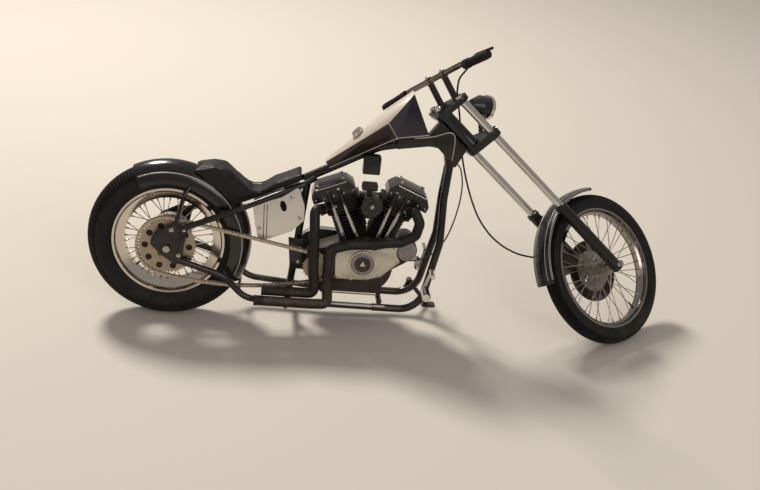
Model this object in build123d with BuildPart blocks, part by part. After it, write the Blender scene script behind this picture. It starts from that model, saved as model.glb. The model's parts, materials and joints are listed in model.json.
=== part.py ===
from build123d import *
from math import acos, atan2, cos, degrees, hypot, pi, radians, sin, sqrt, tan
import os

# Rigid-frame chopper motorcycle with a 45 degree V-twin. Millimetres.
# Modelled upright and steered straight: X forward, Y left, Z up, the rear tyre's contact at the origin.
# It is written out as it parks: leaning on its side stand with the bars on their left stop.

# Stance
wheelbase = 1950
rake = 49
fork_offset = 50
steer_stop = 45
lean = 5
seat_gap = 0.3

# Rear wheel
rear_radius = 347
rear_section = 65
rear_rim_radius = 240
rear_rim_half = 46
rear_hub_radius = 34
rear_hub_half = 62
rear_spokes_count = 40
rear_well_depth = 36

# Front wheel
front_radius = 345
front_section = 44
front_rim_radius = 276
front_rim_half = 29
front_hub_radius = 26
front_hub_half = 42
front_spokes_count = 40
front_well_depth = 11

# Rims and spokes
rim_wall = 3
flange_height = 12
spoke_radius = 1.9
spoke_cross = 18
spoke_gap = 0.8
drum_radius = 92
drum_width = 34
disc_radius = 142
disc_thickness = 6
disc_offset = 56

# Final drive
chain_pitch = 15.875
rear_teeth = 51
front_teeth = 24
chain_y = -96
chain_half = 9
plate_thickness = 2
plate_height = 14
roller_radius = 4.6
rear_tooth_clearance = 1.5
front_tooth_clearance = 0.2
slack_radius = 1400
sprocket_thickness = 6
sprocket_x = 636
sprocket_z = 296

# Frame
frame_tube = 14
backbone_tube = 19
downtube_radius = 16.5
rail_z = 125
rail_half = 95
rear_half = 124
post_foot = 532
plate_wall = 8
head_tube_radius = 30
head_bore = 21
neck_half = 26

# Engine
crank_x = 850
crank_z = 300
vee_half_angle = 22.5
case_radius = 126
case_right = -60
case_left = 70
gearbox_x = 672
gearbox_radius = 82
deck_height = 128
barrel_radius = 50
barrel_fin_radius = 70
barrel_top = 268
head_top = 340
rocker_top = 408
rocker_out = 121
rocker_in = 71
rocker_half = 62
fin_thickness = 3
vee_clearance = 3
cover_face = -112
generator_x = 1026
generator_z = 400
generator_radius = 46

# Exhaust
pipe_radius = 22

# Fork
leg_half = 89
leg_radius = 17.5
slider_radius = 26
slider_top = 395
slider_low = -22
leg_top = 1062
lower_clamp_low = 832
lower_clamp_high = 866
upper_clamp_low = 1044
upper_clamp_high = 1066
head_low = lower_clamp_high + seat_gap
head_high = upper_clamp_low - seat_gap
bar_radius = 12.7
bar_s = 1168
bar_u = 56

# Fender skins
fender_wall = 3
fender_clearance = 6
rear_fender_crown = rear_radius + fender_clearance + fender_wall
rear_fender_half = rear_section + fender_clearance + fender_wall
rear_fender_skirt = 14
rear_fender_start = -29
rear_fender_end = 117
front_fender_crown = front_radius + 32
front_fender_edge = front_radius + 23
front_fender_half = 48
front_fender_lip = 12
front_fender_start = 97
front_fender_end = 193

axle_radius = 10


def fork_vector(u, y, s):
    return FORK.from_local_coords(Vector(u, y, s))


def tube(points, radius, bend):
    """A round tube along straight runs joined by arcs."""
    with BuildLine() as route:
        if len(points) == 2:
            Line(*points)
        else:
            FilletPolyline(*points, radius=bend)
    with BuildSketch(Plane(origin=route.line @ 0, z_dir=route.line % 0)) as section:
        Circle(radius)
    sweep(section.sketch, path=route.line)


def around_rear(radius, angle, y=0):
    """A point at a radius from the rear axle, at an angle up from straight ahead."""
    return radius * cos(radians(angle)), y, rear_radius + radius * sin(radians(angle))


def cable(points, radius):
    """A flexible line along hand-picked points, each bend as wide as its two runs allow."""
    spots = [Vector(*point) for point in points]
    runs = [after - before for before, after in zip(spots, spots[1:])]
    bends = []
    for before, after in zip(runs, runs[1:]):
        half_turn = radians(before.get_angle(after)) / 2
        bends.append(0.45 * min(before.length, after.length) / tan(half_turn))
    with BuildLine() as route:
        FilletPolyline(*spots, radius=bends)
    with BuildSketch(Plane(origin=route.line @ 0, z_dir=route.line % 0)) as section:
        Circle(radius)
    sweep(section.sketch, path=route.line)
    print("tightest bend", round(min(bends)), "length", round(route.wire().length))


def rounded_outline(table):
    """Face from rows of X, Y and corner radius."""
    with BuildLine() as outline:
        FilletPolyline(*[(x, y) for x, y, radius in table], close=True,
                       radius=[radius for x, y, radius in table])
    make_face(outline.line)


def lowest(centre, axle, outer_radius, section_radius):
    """Height of a round tyre's lowest point, for its centre and its axle's unit direction."""
    return centre.Z - (outer_radius - section_radius) * sqrt(1 - axle.Z ** 2) - section_radius


FORK = Plane(origin=(wheelbase, 0, front_radius), x_dir=(cos(radians(rake)), 0, sin(radians(rake))),
             z_dir=(-sin(radians(rake)), 0, cos(radians(rake))))
STEM = Plane(origin=FORK.from_local_coords(Vector(-fork_offset, 0, 0)), x_dir=FORK.x_dir, z_dir=FORK.z_dir)
steered = STEM.location * Location((0, 0, 0), (0, 0, steer_stop)) * STEM.location.inverse()

head_middle = STEM.from_local_coords(Vector(0, 0, (head_low + head_high) / 2))
head_x = head_middle.X
head_z = head_middle.Z

parts = []


def keep(builder, label, pose):
    builder.part.label = label
    parts.append((builder, label, pose))


# Rear wheel

rear_centre = (0, 0, rear_radius)
front_centre = (wheelbase, 0, front_radius)
rear_rim_barrel = rear_rim_radius - flange_height
front_rim_barrel = front_rim_radius - flange_height


def tyre_section(outer_radius, section, barrel, flange, half):
    """Solid tyre section in a plane whose X is the radius and Y the axle."""
    middle = outer_radius - section
    bead = half - rim_wall - seat_gap
    lip = flange + seat_gap
    with BuildLine() as outline:
        crown = ThreePointArc((middle, -section), (outer_radius, 0), (middle, section))
        upper = ThreePointArc(crown @ 1, ((middle + lip) / 2, section * 0.93), (lip, half - 1))
        lower = ThreePointArc(crown @ 0, ((middle + lip) / 2, -section * 0.93), (lip, 1 - half))
        Polyline(upper @ 1, (lip, bead), (barrel + seat_gap, bead), (barrel + seat_gap, -bead),
                 (lip, -bead), lower @ 1)
    make_face(outline.line)


def rim_section(barrel, flange, half, well_depth):
    """Channel-shaped rim section with a well between its two flanges."""
    well = barrel - well_depth
    shoulder = half * 0.55
    with BuildLine() as outline:
        Polyline((flange, half), (flange, half - rim_wall), (barrel, half - rim_wall), (barrel, shoulder),
                 (well, shoulder * 0.6), (well, -shoulder * 0.6), (barrel, -shoulder),
                 (barrel, rim_wall - half), (flange, rim_wall - half), (flange, -half),
                 (barrel - rim_wall, -half), (barrel - rim_wall, -shoulder), (well - rim_wall, -shoulder * 0.6),
                 (well - rim_wall, shoulder * 0.6), (barrel - rim_wall, shoulder), (barrel - rim_wall, half),
                 close=True)
    make_face(outline.line)


def spoke_set(centre, count, hub_radius, hub_half, rim_radius):
    """Crossed wire spokes from the two hub flanges to the rim's well."""
    spokes = []
    for index in range(count):
        side = 1 if index % 2 else -1
        sweep_side = 1 if (index // 2) % 2 else -1
        rim_angle = radians(360 / count * index)
        hub_angle = rim_angle + radians(spoke_cross * 2.2) * sweep_side
        hub_end = Vector(centre[0] + hub_radius * cos(hub_angle), side * hub_half,
                         centre[2] + hub_radius * sin(hub_angle))
        rim_end = Vector(centre[0] + rim_radius * cos(rim_angle), side * 5,
                         centre[2] + rim_radius * sin(rim_angle))
        with BuildSketch(Plane(origin=hub_end, z_dir=rim_end - hub_end)) as section:
            RegularPolygon(spoke_radius, 6)
        spokes.append(extrude(section.sketch, amount=(rim_end - hub_end).length, mode=Mode.PRIVATE))
    add(spokes)


REAR_AXLE = Plane(origin=rear_centre, x_dir=(1, 0, 0), z_dir=(0, -1, 0))
FRONT_AXLE = Plane(origin=front_centre, x_dir=(1, 0, 0), z_dir=(0, -1, 0))
REAR_RADIAL = Plane(origin=rear_centre, x_dir=(0, 0, 1), z_dir=(1, 0, 0))
FRONT_RADIAL = Plane(origin=front_centre, x_dir=(0, 0, 1), z_dir=(1, 0, 0))
rear_turn = Axis(rear_centre, (0, 1, 0))
front_turn = Axis(front_centre, (0, 1, 0))

with BuildPart() as rear_tyre:
    with BuildSketch(REAR_RADIAL):
        tyre_section(rear_radius, rear_section, rear_rim_barrel, rear_rim_radius, rear_rim_half)
    revolve(axis=rear_turn)
keep(rear_tyre, "rear_tyre", "rear_wheel")

with BuildPart() as rear_rim:
    with BuildSketch(REAR_RADIAL):
        rim_section(rear_rim_barrel, rear_rim_radius, rear_rim_half, rear_well_depth)
    revolve(axis=rear_turn)
keep(rear_rim, "rear_rim", "rear_wheel")

rear_well = rear_rim_barrel - rear_well_depth - rim_wall
with BuildPart() as rear_hub:
    with BuildSketch(REAR_AXLE.offset(-rear_hub_half)):
        Circle(rear_hub_radius)
    extrude(amount=2 * rear_hub_half)
    with BuildSketch(REAR_AXLE.offset(-rear_hub_half), REAR_AXLE.offset(rear_hub_half - 6)):
        Circle(rear_hub_radius + 14)
    extrude(amount=6)
    with BuildSketch(REAR_AXLE.offset(-rear_hub_half - 14)):
        Circle(drum_radius)
    extrude(amount=drum_width)
    spoke_set(rear_centre, rear_spokes_count, rear_hub_radius + 8, rear_hub_half - 3, rear_well - spoke_gap)
    with BuildSketch(REAR_AXLE.offset(-rear_hub_half - 20)):
        Circle(axle_radius + 0.2)
    extrude(amount=2 * rear_hub_half + 60, mode=Mode.SUBTRACT)
keep(rear_hub, "rear_hub", "rear_wheel")

rear_pitch_radius = chain_pitch / 2 / sin(pi / rear_teeth)
front_pitch_radius = chain_pitch / 2 / sin(pi / front_teeth)


def sprocket_outline(pitch_radius, teeth, clearance):
    """Toothed disc whose tips stay inside the chain's rollers."""
    tip = pitch_radius - roller_radius - clearance
    root = tip - 6
    with BuildLine() as outline:
        step = 2 * pi / teeth
        corners = []
        for tooth in range(teeth):
            middle = tooth * step
            for radius, offset in ((root, -0.32), (tip, -0.16), (tip, 0.16), (root, 0.32)):
                corners.append((radius * cos(middle + offset * step), radius * sin(middle + offset * step)))
        Polyline(*corners, close=True)
    make_face(outline.line)


hole_ring = 93
hole_count = 10
with BuildPart() as rear_sprocket:
    with BuildSketch(REAR_AXLE.offset(-chain_y - sprocket_thickness / 2)):
        sprocket_outline(rear_pitch_radius, rear_teeth, rear_tooth_clearance)
        Circle(40, mode=Mode.SUBTRACT)
        with PolarLocations(hole_ring, hole_count):
            Circle(14, mode=Mode.SUBTRACT)
    extrude(amount=sprocket_thickness)
    with BuildSketch(REAR_AXLE.offset(rear_hub_half + seat_gap)):
        Circle(62)
        Circle(40, mode=Mode.SUBTRACT)
    extrude(amount=-chain_y - sprocket_thickness / 2 - rear_hub_half - seat_gap)
keep(rear_sprocket, "rear_sprocket", "rear_wheel")

# Front wheel

with BuildPart() as front_tyre:
    with BuildSketch(FRONT_RADIAL):
        tyre_section(front_radius, front_section, front_rim_barrel, front_rim_radius, front_rim_half)
    revolve(axis=front_turn)
keep(front_tyre, "front_tyre", "front_wheel")

with BuildPart() as front_rim:
    with BuildSketch(FRONT_RADIAL):
        rim_section(front_rim_barrel, front_rim_radius, front_rim_half, front_well_depth)
    revolve(axis=front_turn)
keep(front_rim, "front_rim", "front_wheel")

front_well = front_rim_barrel - front_well_depth - rim_wall
with BuildPart() as front_hub:
    with BuildSketch(FRONT_AXLE.offset(-front_hub_half)):
        Circle(front_hub_radius)
    extrude(amount=2 * front_hub_half)
    with BuildSketch(FRONT_AXLE.offset(-front_hub_half), FRONT_AXLE.offset(front_hub_half - 5)):
        Circle(front_hub_radius + 12)
    extrude(amount=5)
    spoke_set(front_centre, front_spokes_count, front_hub_radius + 7, front_hub_half - 2.5,
              front_well - spoke_gap)
    with BuildSketch(FRONT_AXLE.offset(-disc_offset + disc_thickness / 2)):
        Circle(60)
    extrude(amount=disc_offset - disc_thickness / 2 - front_hub_half)
    with BuildSketch(FRONT_AXLE.offset(-front_hub_half - 20)):
        Circle(axle_radius + 0.2)
    extrude(amount=2 * front_hub_half + 40, mode=Mode.SUBTRACT)
keep(front_hub, "front_hub", "front_wheel")

with BuildPart() as brake_disc:
    with BuildSketch(FRONT_AXLE.offset(-disc_offset - disc_thickness / 2)):
        Circle(disc_radius)
        Circle(52, mode=Mode.SUBTRACT)
    extrude(amount=disc_thickness - seat_gap)
keep(brake_disc, "brake_disc", "front_wheel")

# Frame

# Neck web about the middle of the steering head: X, Z, corner radius
neck_table = [(-256, -60, 2), (-124, -30, 14), (-83, 29, 4), (43, -78, 4), (4, -159, 4), (-40, -159, 4),
              (-50, -110, 24), (-82, -80, 14), (-119, -76, 14), (-256, -100, 2)]
with BuildPart() as frame_neck:
    with BuildSketch(Plane.XZ):
        rounded_outline([(head_x + x, head_z + z, radius) for x, z, radius in neck_table])
    extrude(amount=neck_half, both=True)
    with BuildSketch(STEM.offset(head_low)):
        Circle(head_tube_radius)
    extrude(amount=head_high - head_low)
    with BuildSketch(STEM.offset(head_low), STEM.offset(head_high - 10)):
        Circle(head_tube_radius + 4)
    extrude(amount=10)
    with BuildSketch(STEM.offset(head_low - 60)):
        Circle(head_bore)
    extrude(amount=head_high - head_low + 120, mode=Mode.SUBTRACT)
keep(frame_neck, "frame_neck", "root")

backbone_route = [(566, 0, 667), (head_x - 328, 0, head_z - 101), (head_x - 137, 0, head_z - 58)]
with BuildPart() as frame_backbone:
    tube(backbone_route, backbone_tube, 160)
    add(frame_neck.part, mode=Mode.SUBTRACT)
keep(frame_backbone, "frame_backbone", "root")

downtube_route = [(head_x - 20, 20, head_z - 134), (head_x - 30, 38, 630), (head_x - 27, 70, 440),
                  (head_x - 88, rail_half, rail_z), (900, rail_half, rail_z)]
with BuildPart() as frame_downtubes:
    tube(downtube_route, downtube_radius, 110)
    mirror(about=Plane.XZ)
    add(frame_neck.part, mode=Mode.SUBTRACT)
keep(frame_downtubes, "frame_downtubes", "root")

rail_route = [(900, rail_half, rail_z), (640, rail_half, rail_z),
              around_rear(rear_fender_crown + 47, -31, rear_half),
              around_rear(rear_fender_crown - 86, -24, rear_half), (45, rear_half, rear_radius - 49)]
with BuildPart() as frame_lower_rails:
    tube(rail_route, frame_tube, 110)
    mirror(about=Plane.XZ)
keep(frame_lower_rails, "frame_lower_rails", "root")

seat_rail_route = [(45, rear_half, rear_radius + 85), (255, rear_half - 4, rear_radius + 178), (560, 52, 654),
                   (606, 14, 674)]
post_route = [(577, 0, 670), (post_foot, 0, rail_z)]
with BuildPart() as frame_seat_post:
    tube(post_route, frame_tube + 2, 10)
    with BuildSketch(Plane.XZ.offset(-rail_half)):
        with Locations((post_foot, rail_z)):
            Circle(frame_tube)
    extrude(amount=2 * rail_half)
    add(frame_backbone.part, mode=Mode.SUBTRACT)
    add(frame_lower_rails.part, mode=Mode.SUBTRACT)
keep(frame_seat_post, "frame_seat_post", "root")

with BuildPart() as frame_seat_rails:
    tube(seat_rail_route, frame_tube - 1, 60)
    mirror(about=Plane.XZ)
    add(frame_seat_post.part, mode=Mode.SUBTRACT)
    add(frame_backbone.part, mode=Mode.SUBTRACT)
keep(frame_seat_rails, "frame_seat_rails", "root")

# Outline of the axle plates about the axle: X, Z, corner radius
plate_table = [(-72, 18, 22), (-52, 70, 20), (18, 107, 12), (89, 106, 12), (73, 21, 16), (64, -58, 12),
               (41, -73, 12), (-25, -28, 16)]
with BuildPart() as axle_plates:
    with BuildSketch(REAR_AXLE.offset(rear_half - plate_wall / 2)):
        rounded_outline(plate_table)
        Circle(axle_radius + 0.1, mode=Mode.SUBTRACT)
    extrude(amount=plate_wall)
    mirror(about=Plane.XZ)
    add(frame_lower_rails.part, mode=Mode.SUBTRACT)
    add(frame_seat_rails.part, mode=Mode.SUBTRACT)
keep(axle_plates, "axle_plates", "root")

rear_axle_half = rear_half + plate_wall / 2 + 14
with BuildPart() as rear_axle:
    with BuildSketch(REAR_AXLE.offset(-rear_axle_half)):
        Circle(axle_radius)
    extrude(amount=2 * rear_axle_half)
    nut_seat = rear_half + plate_wall / 2 + seat_gap
    with BuildSketch(REAR_AXLE.offset(nut_seat), REAR_AXLE.offset(-nut_seat - 11)):
        RegularPolygon(16, 6)
    extrude(amount=11)
    spacer_low = -chain_y + sprocket_thickness / 2 + 2
    with BuildSketch(REAR_AXLE.offset(spacer_low)):
        Circle(17)
    extrude(amount=rear_half - plate_wall / 2 - seat_gap - spacer_low)
    with BuildSketch(REAR_AXLE.offset(-rear_half + plate_wall / 2 + seat_gap)):
        Circle(17)
    extrude(amount=rear_half - plate_wall / 2 - seat_gap - rear_hub_half - 14 - 2)
keep(rear_axle, "rear_axle", "root")

# Engine

REAR_CYL = Plane(origin=(crank_x, 0, crank_z), x_dir=(cos(radians(vee_half_angle)), 0, sin(radians(vee_half_angle))),
                 z_dir=(-sin(radians(vee_half_angle)), 0, cos(radians(vee_half_angle))))
FRONT_CYL = Plane(origin=(crank_x, 0, crank_z), x_dir=(cos(radians(vee_half_angle)), 0, -sin(radians(vee_half_angle))),
                  z_dir=(sin(radians(vee_half_angle)), 0, cos(radians(vee_half_angle))))

with BuildPart() as generator:
    with BuildSketch(Plane.XZ.offset(-72)):
        with Locations((generator_x, generator_z)):
            Circle(generator_radius)
    extrude(amount=72 + 96)
    chamfer(edges().filter_by(GeomType.CIRCLE), 5)
keep(generator, "generator", "root")

with BuildPart() as crankcase:
    with BuildSketch(Plane.XZ.offset(-case_left)):
        with Locations((crank_x, crank_z)):
            Circle(case_radius)
        with Locations((gearbox_x, crank_z - 8)):
            Circle(gearbox_radius)
        make_hull()
        with Locations((generator_x - 18, generator_z - 30)):
            Circle(44)
        Polygon((crank_x + 40, crank_z - 60), (generator_x, generator_z - 72), (generator_x - 30, generator_z + 10),
                (crank_x + 40, crank_z + 110), align=None)
        with Locations((crank_x - 50, crank_z - 108)):
            RectangleRounded(280, 54, 20)
    extrude(amount=case_left - case_right)
    with BuildSketch(REAR_CYL.offset(deck_height - 60), FRONT_CYL.offset(deck_height - 60)):
        Rectangle(102, 112)
    extrude(amount=60)
    with BuildSketch(Plane.XZ.offset(-case_left - 1)):
        with Locations((generator_x, generator_z)):
            Circle(generator_radius + seat_gap)
    extrude(amount=case_left - case_right + 60, mode=Mode.SUBTRACT)
keep(crankcase, "crankcase", "root")

mount_z = 152
with BuildPart() as engine_mounts:
    for mount_x in (690, 930):
        tube([(mount_x, -rail_half, mount_z), (mount_x, rail_half, mount_z)], 12.5, 1)
    add(frame_lower_rails.part, mode=Mode.SUBTRACT)
    add(frame_downtubes.part, mode=Mode.SUBTRACT)
keep(engine_mounts, "engine_mounts", "root")

cover_profile = [(720, 253), (710, 382), (774, 399), (897, 409), (987, 437), (1000, 349), (918, 272), (861, 255)]
timer_x = 838
timer_z = 335
with BuildPart() as cam_cover:
    with BuildSketch(Plane.XZ.offset(-case_right + seat_gap)):
        Polygon(*cover_profile, align=None)
        fillet(vertices(), 16)
    extrude(amount=case_right - cover_face)
    chamfer(faces().sort_by(Axis.Y)[0].edges(), 6)
    with BuildSketch(Plane.XZ.offset(-cover_face)):
        with Locations((timer_x, timer_z)):
            Circle(60)
            Circle(52, mode=Mode.SUBTRACT)
            Circle(41)
    extrude(amount=9)
    with BuildSketch(Plane.XZ.offset(-case_right)):
        with Locations((generator_x, generator_z)):
            Circle(generator_radius + seat_gap)
    extrude(amount=80, mode=Mode.SUBTRACT)
keep(cam_cover, "cam_cover", "root")

with BuildPart() as primary_cover:
    with BuildSketch(Plane.XZ.offset(-case_left - seat_gap)):
        with Locations((crank_x, crank_z)):
            Circle(104)
        with Locations((gearbox_x - 15, crank_z)):
            Circle(112)
        make_hull()
    extrude(amount=-52)
    fillet(faces().sort_by(Axis.Y)[-1].edges(), 14)
    with BuildSketch(Plane.XZ.offset(-case_left - 52)):
        with Locations((gearbox_x - 15, crank_z)):
            Circle(58)
    extrude(amount=-8)
keep(primary_cover, "primary_cover", "root")

carb_z = 606
air_cleaner_radius = 44
with BuildPart() as carburettor:
    with BuildSketch(Plane.XZ.offset(-30)):
        with Locations((crank_x, carb_z)):
            Circle(20)
    extrude(amount=130)
    with BuildSketch(Plane.XZ.offset(72)):
        with Locations((crank_x, carb_z)):
            RectangleRounded(62, 74, 12)
        with Locations((crank_x - 14, carb_z + 74)):
            RectangleRounded(68, 34, 10)
        with Locations((crank_x - 14, carb_z + 44)):
            Rectangle(24, 34)
    extrude(amount=32)
    with BuildSketch(Plane.XZ.offset(104)):
        with Locations((crank_x, carb_z)):
            Circle(air_cleaner_radius)
    extrude(amount=30)
    chamfer(faces().sort_by(Axis.Y)[0].edges(), 5)
    tube([(crank_x - 60, 0, carb_z), (crank_x + 60, 0, carb_z)], 20, 1)
keep(carburettor, "carburettor", "root")

# Each pushrod tube: foot X, foot Z, top X, top Z
pushrod_table = [(766, 402, 662, 634), (825, 402, 704, 654), (877, 402, 957, 654), (909, 402, 1001, 629)]
pushrod_foot_y = -92
pushrod_top_y = -60
pushrod_radius = 9
with BuildPart() as pushrod_tubes:
    for foot_x, foot_z, top_x, top_z in pushrod_table:
        tube([(foot_x, pushrod_foot_y, foot_z), (top_x, pushrod_top_y, top_z)], pushrod_radius, 1)
        tube([(foot_x, pushrod_foot_y, foot_z - 8), (foot_x, pushrod_foot_y, foot_z + 14)], pushrod_radius + 5, 1)
    add(cam_cover.part, mode=Mode.SUBTRACT)
keep(pushrod_tubes, "pushrod_tubes", "root")


def barrel(plane, side):
    """Finned barrel and head, cut back at the plane between the two cylinders."""
    with BuildSketch(plane.offset(deck_height + seat_gap)) as bore:
        Circle(barrel_radius)
    extrude(bore.sketch, amount=head_top - deck_height - seat_gap)
    fin_count = 8
    pitch = (barrel_top - deck_height - 14) / fin_count
    with BuildSketch(*[plane.offset(deck_height + 12 + pitch * index) for index in range(fin_count)]) as fins:
        Circle(barrel_fin_radius)
    extrude(fins.sketch, amount=fin_thickness, dir=plane.z_dir)
    with BuildSketch(plane.offset(barrel_top)) as head:
        RectangleRounded(128, 130, 30)
    extrude(head.sketch, amount=head_top - barrel_top)
    with BuildSketch(*[plane.offset(barrel_top + 4 + 15 * index) for index in range(4)]) as head_fins:
        RectangleRounded(158, 152, 34)
    extrude(head_fins.sketch, amount=fin_thickness, dir=plane.z_dir)
    cut = Plane(origin=(crank_x + side * vee_clearance, 0, 0), z_dir=(side, 0, 0))
    split(bisect_by=cut, keep=Keep.TOP)
    add(carburettor.part, mode=Mode.SUBTRACT)
    add(crankcase.part, mode=Mode.SUBTRACT)
    add(cam_cover.part, mode=Mode.SUBTRACT)
    add(pushrod_tubes.part, mode=Mode.SUBTRACT)


with BuildPart() as rear_cylinder:
    barrel(REAR_CYL, -1)
keep(rear_cylinder, "rear_cylinder", "root")

with BuildPart() as front_cylinder:
    barrel(FRONT_CYL, 1)
keep(front_cylinder, "front_cylinder", "root")


def rocker_box(plane, outward):
    """Rocker cover with a sloped top and a raised lid, longer on the side away from the other cylinder."""
    side_plane = Plane(origin=plane.origin, x_dir=plane.x_dir * outward, z_dir=Vector(0, -1, 0) * outward)
    with BuildSketch(side_plane) as profile:
        base = head_top + seat_gap
        Polygon((-rocker_in, base), (rocker_out, base), (rocker_out, base + 28), (rocker_out - 24, rocker_top - 8),
                (24 - rocker_in, rocker_top - 8), (-rocker_in, base + 28), align=None)
        with Locations(((rocker_out - rocker_in) / 2, rocker_top - 8)):
            Rectangle(rocker_out + rocker_in - 72, 16)
        fillet(profile.vertices(), 4)
    extrude(profile.sketch, amount=rocker_half, both=True)
    add(pushrod_tubes.part, mode=Mode.SUBTRACT)


with BuildPart() as rear_rocker_box:
    rocker_box(REAR_CYL, -1)
keep(rear_rocker_box, "rear_rocker_box", "root")

with BuildPart() as front_rocker_box:
    rocker_box(FRONT_CYL, 1)
keep(front_rocker_box, "front_rocker_box", "root")

front_pipe_route = [(1012, -40, 552), (1038, -120, 594), (1062, -136, 546), (1050, -136, 488), (990, -138, 455),
                    (770, -138, 427), (690, -138, 398), (690, -142, 255), (700, -156, 152), (630, -165, 152),
                    (390, -165, 152)]
rear_pipe_route = [(668, -50, 552), (612, -112, 566), (618, -138, 480), (627, -138, 300), (640, -138, 190),
                   (420, -138, 190)]
with BuildPart() as exhaust_front:
    tube(front_pipe_route, pipe_radius, 24)
    add(front_cylinder.part, mode=Mode.SUBTRACT)
keep(exhaust_front, "exhaust_front", "root")

with BuildPart() as exhaust_rear:
    tube(rear_pipe_route, pipe_radius, 24)
    add(rear_cylinder.part, mode=Mode.SUBTRACT)
keep(exhaust_rear, "exhaust_rear", "root")

# Chain

SPROCKET = Plane(origin=(sprocket_x, 0, sprocket_z), x_dir=(1, 0, 0), z_dir=(0, -1, 0))
with BuildPart() as front_sprocket:
    with BuildSketch(SPROCKET.offset(-chain_y - sprocket_thickness / 2)):
        sprocket_outline(front_pitch_radius, front_teeth, front_tooth_clearance)
    extrude(amount=sprocket_thickness)
    with BuildSketch(SPROCKET.offset(-case_right + seat_gap)):
        Circle(22)
    extrude(amount=-chain_y - sprocket_thickness / 2 + case_right - seat_gap)
keep(front_sprocket, "front_sprocket", "root")


def tangent_angle(run):
    """Angle of the chain's upper run where it leaves both sprockets."""
    span = hypot(sprocket_x, sprocket_z - rear_radius)
    slope = atan2(sprocket_z - rear_radius, sprocket_x)
    return slope + acos((rear_pitch_radius - front_pitch_radius) / span) * run


def slack_centre():
    """Centre of the big arc that the slack lower run hangs in."""
    reach_rear = slack_radius - rear_pitch_radius
    reach_front = slack_radius - front_pitch_radius
    span = hypot(sprocket_x, sprocket_z - rear_radius)
    along = (reach_rear ** 2 - reach_front ** 2 + span ** 2) / (2 * span)
    rise = sqrt(reach_rear ** 2 - along ** 2)
    ux = sprocket_x / span
    uz = (sprocket_z - rear_radius) / span
    return along * ux - rise * uz, rear_radius + along * uz + rise * ux


def chain_loop(offset):
    """Closed chain line, moved outwards by an offset, in the bike's X and Z."""
    top = tangent_angle(1)
    centre_x, centre_z = slack_centre()
    rear_low = atan2(rear_radius - centre_z, -centre_x)
    front_low = atan2(sprocket_z - centre_z, sprocket_x - centre_x)
    rear_r = rear_pitch_radius + offset
    front_r = front_pitch_radius + offset
    rear_top = (rear_r * cos(top), rear_radius + rear_r * sin(top))
    front_top = (sprocket_x + front_r * cos(top), sprocket_z + front_r * sin(top))
    rear_bottom = (rear_r * cos(rear_low), rear_radius + rear_r * sin(rear_low))
    front_bottom = (sprocket_x + front_r * cos(front_low), sprocket_z + front_r * sin(front_low))
    middle = (rear_low + front_low) / 2
    slack = slack_radius + offset
    Line(rear_top, front_top)
    ThreePointArc(front_top, (sprocket_x + front_r, sprocket_z), front_bottom)
    ThreePointArc(front_bottom, (centre_x + slack * cos(middle), centre_z + slack * sin(middle)), rear_bottom)
    ThreePointArc(rear_bottom, (-rear_r, rear_radius), rear_top)


with BuildPart() as drive_chain:
    with BuildLine(Plane.XZ.offset(-chain_y)) as loop:
        chain_loop(0)
    for side in (-1, 1):
        with BuildSketch(Plane.XZ.offset(-chain_y + side * (chain_half - plate_thickness / 2) - plate_thickness / 2)):
            with BuildLine() as outside:
                chain_loop(plate_height / 2)
            make_face(outside.line)
            with BuildLine() as inside:
                chain_loop(-plate_height / 2)
            make_face(inside.line, mode=Mode.SUBTRACT)
        extrude(amount=plate_thickness)
    run = loop.wire()
    link_count = round(run.length / chain_pitch)
    rollers = []
    for index in range(link_count):
        spot = run @ (index / link_count)
        roller_plane = Plane(origin=(spot.X, chain_y - chain_half + plate_thickness, spot.Z), z_dir=(0, 1, 0))
        with BuildSketch(roller_plane) as roller:
            RegularPolygon(roller_radius, 6)
        rollers.append(extrude(roller.sketch, amount=2 * (chain_half - plate_thickness), mode=Mode.PRIVATE))
    add(rollers)
keep(drive_chain, "drive_chain", "root")

# Bodywork

tank_corner_half = 110
tank_low_half = 60
tank_nose_half = 32
with BuildPart() as gas_tank:
    rear_ring = [(644, 0, 756), (643, 24, 752), (664, 24, 729), (664, -24, 729), (643, -24, 752)]
    middle_ring = [(876, 0, 984), (883, tank_corner_half, 966), (931, tank_low_half, 893),
                   (931, -tank_low_half, 893), (883, -tank_corner_half, 966)]
    nose_x = head_x - 130
    front_ring = [(nose_x - 83, 0, head_z + 153), (nose_x - 80, tank_nose_half, head_z + 146),
                  (nose_x, tank_nose_half + 4, head_z - 21), (nose_x, -tank_nose_half - 4, head_z - 21),
                  (nose_x - 80, -tank_nose_half, head_z + 146)]
    faces_list = []

    def triangle(a, b, c):
        return Face(Wire.make_polygon([Vector(*a), Vector(*b), Vector(*c)], close=True))

    for low, high in ((rear_ring, middle_ring), (middle_ring, front_ring)):
        for index in range(5):
            follow = (index + 1) % 5
            faces_list.append(triangle(low[index], low[follow], high[follow]))
            faces_list.append(triangle(low[index], high[follow], high[index]))
    for ring in (rear_ring, front_ring):
        for index in (1, 2, 3):
            faces_list.append(triangle(ring[0], ring[index], ring[index + 1]))
    add(Solid(Shell(faces_list)))
    with BuildSketch(Plane.XZ):
        with Locations((922, 872)):
            Rectangle(26, 66)
    extrude(amount=14, both=True)
    add(frame_backbone.part, mode=Mode.SUBTRACT)
keep(gas_tank, "gas_tank", "root")


def fender_section(crown, half, skirt, wall):
    """U-shaped fender section in a plane whose X is the radius and Y the axle."""
    centre = crown - half
    with BuildLine() as outline:
        outer = ThreePointArc((centre, -half), (crown, 0), (centre, half))
        inner = ThreePointArc((centre, wall - half), (crown - wall, 0), (centre, half - wall))
        Polyline(outer @ 0, (centre - skirt, -half), (centre - skirt, wall - half), inner @ 0)
        Polyline(outer @ 1, (centre - skirt, half), (centre - skirt, half - wall), inner @ 1)
    make_face(outline.line)


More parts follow.
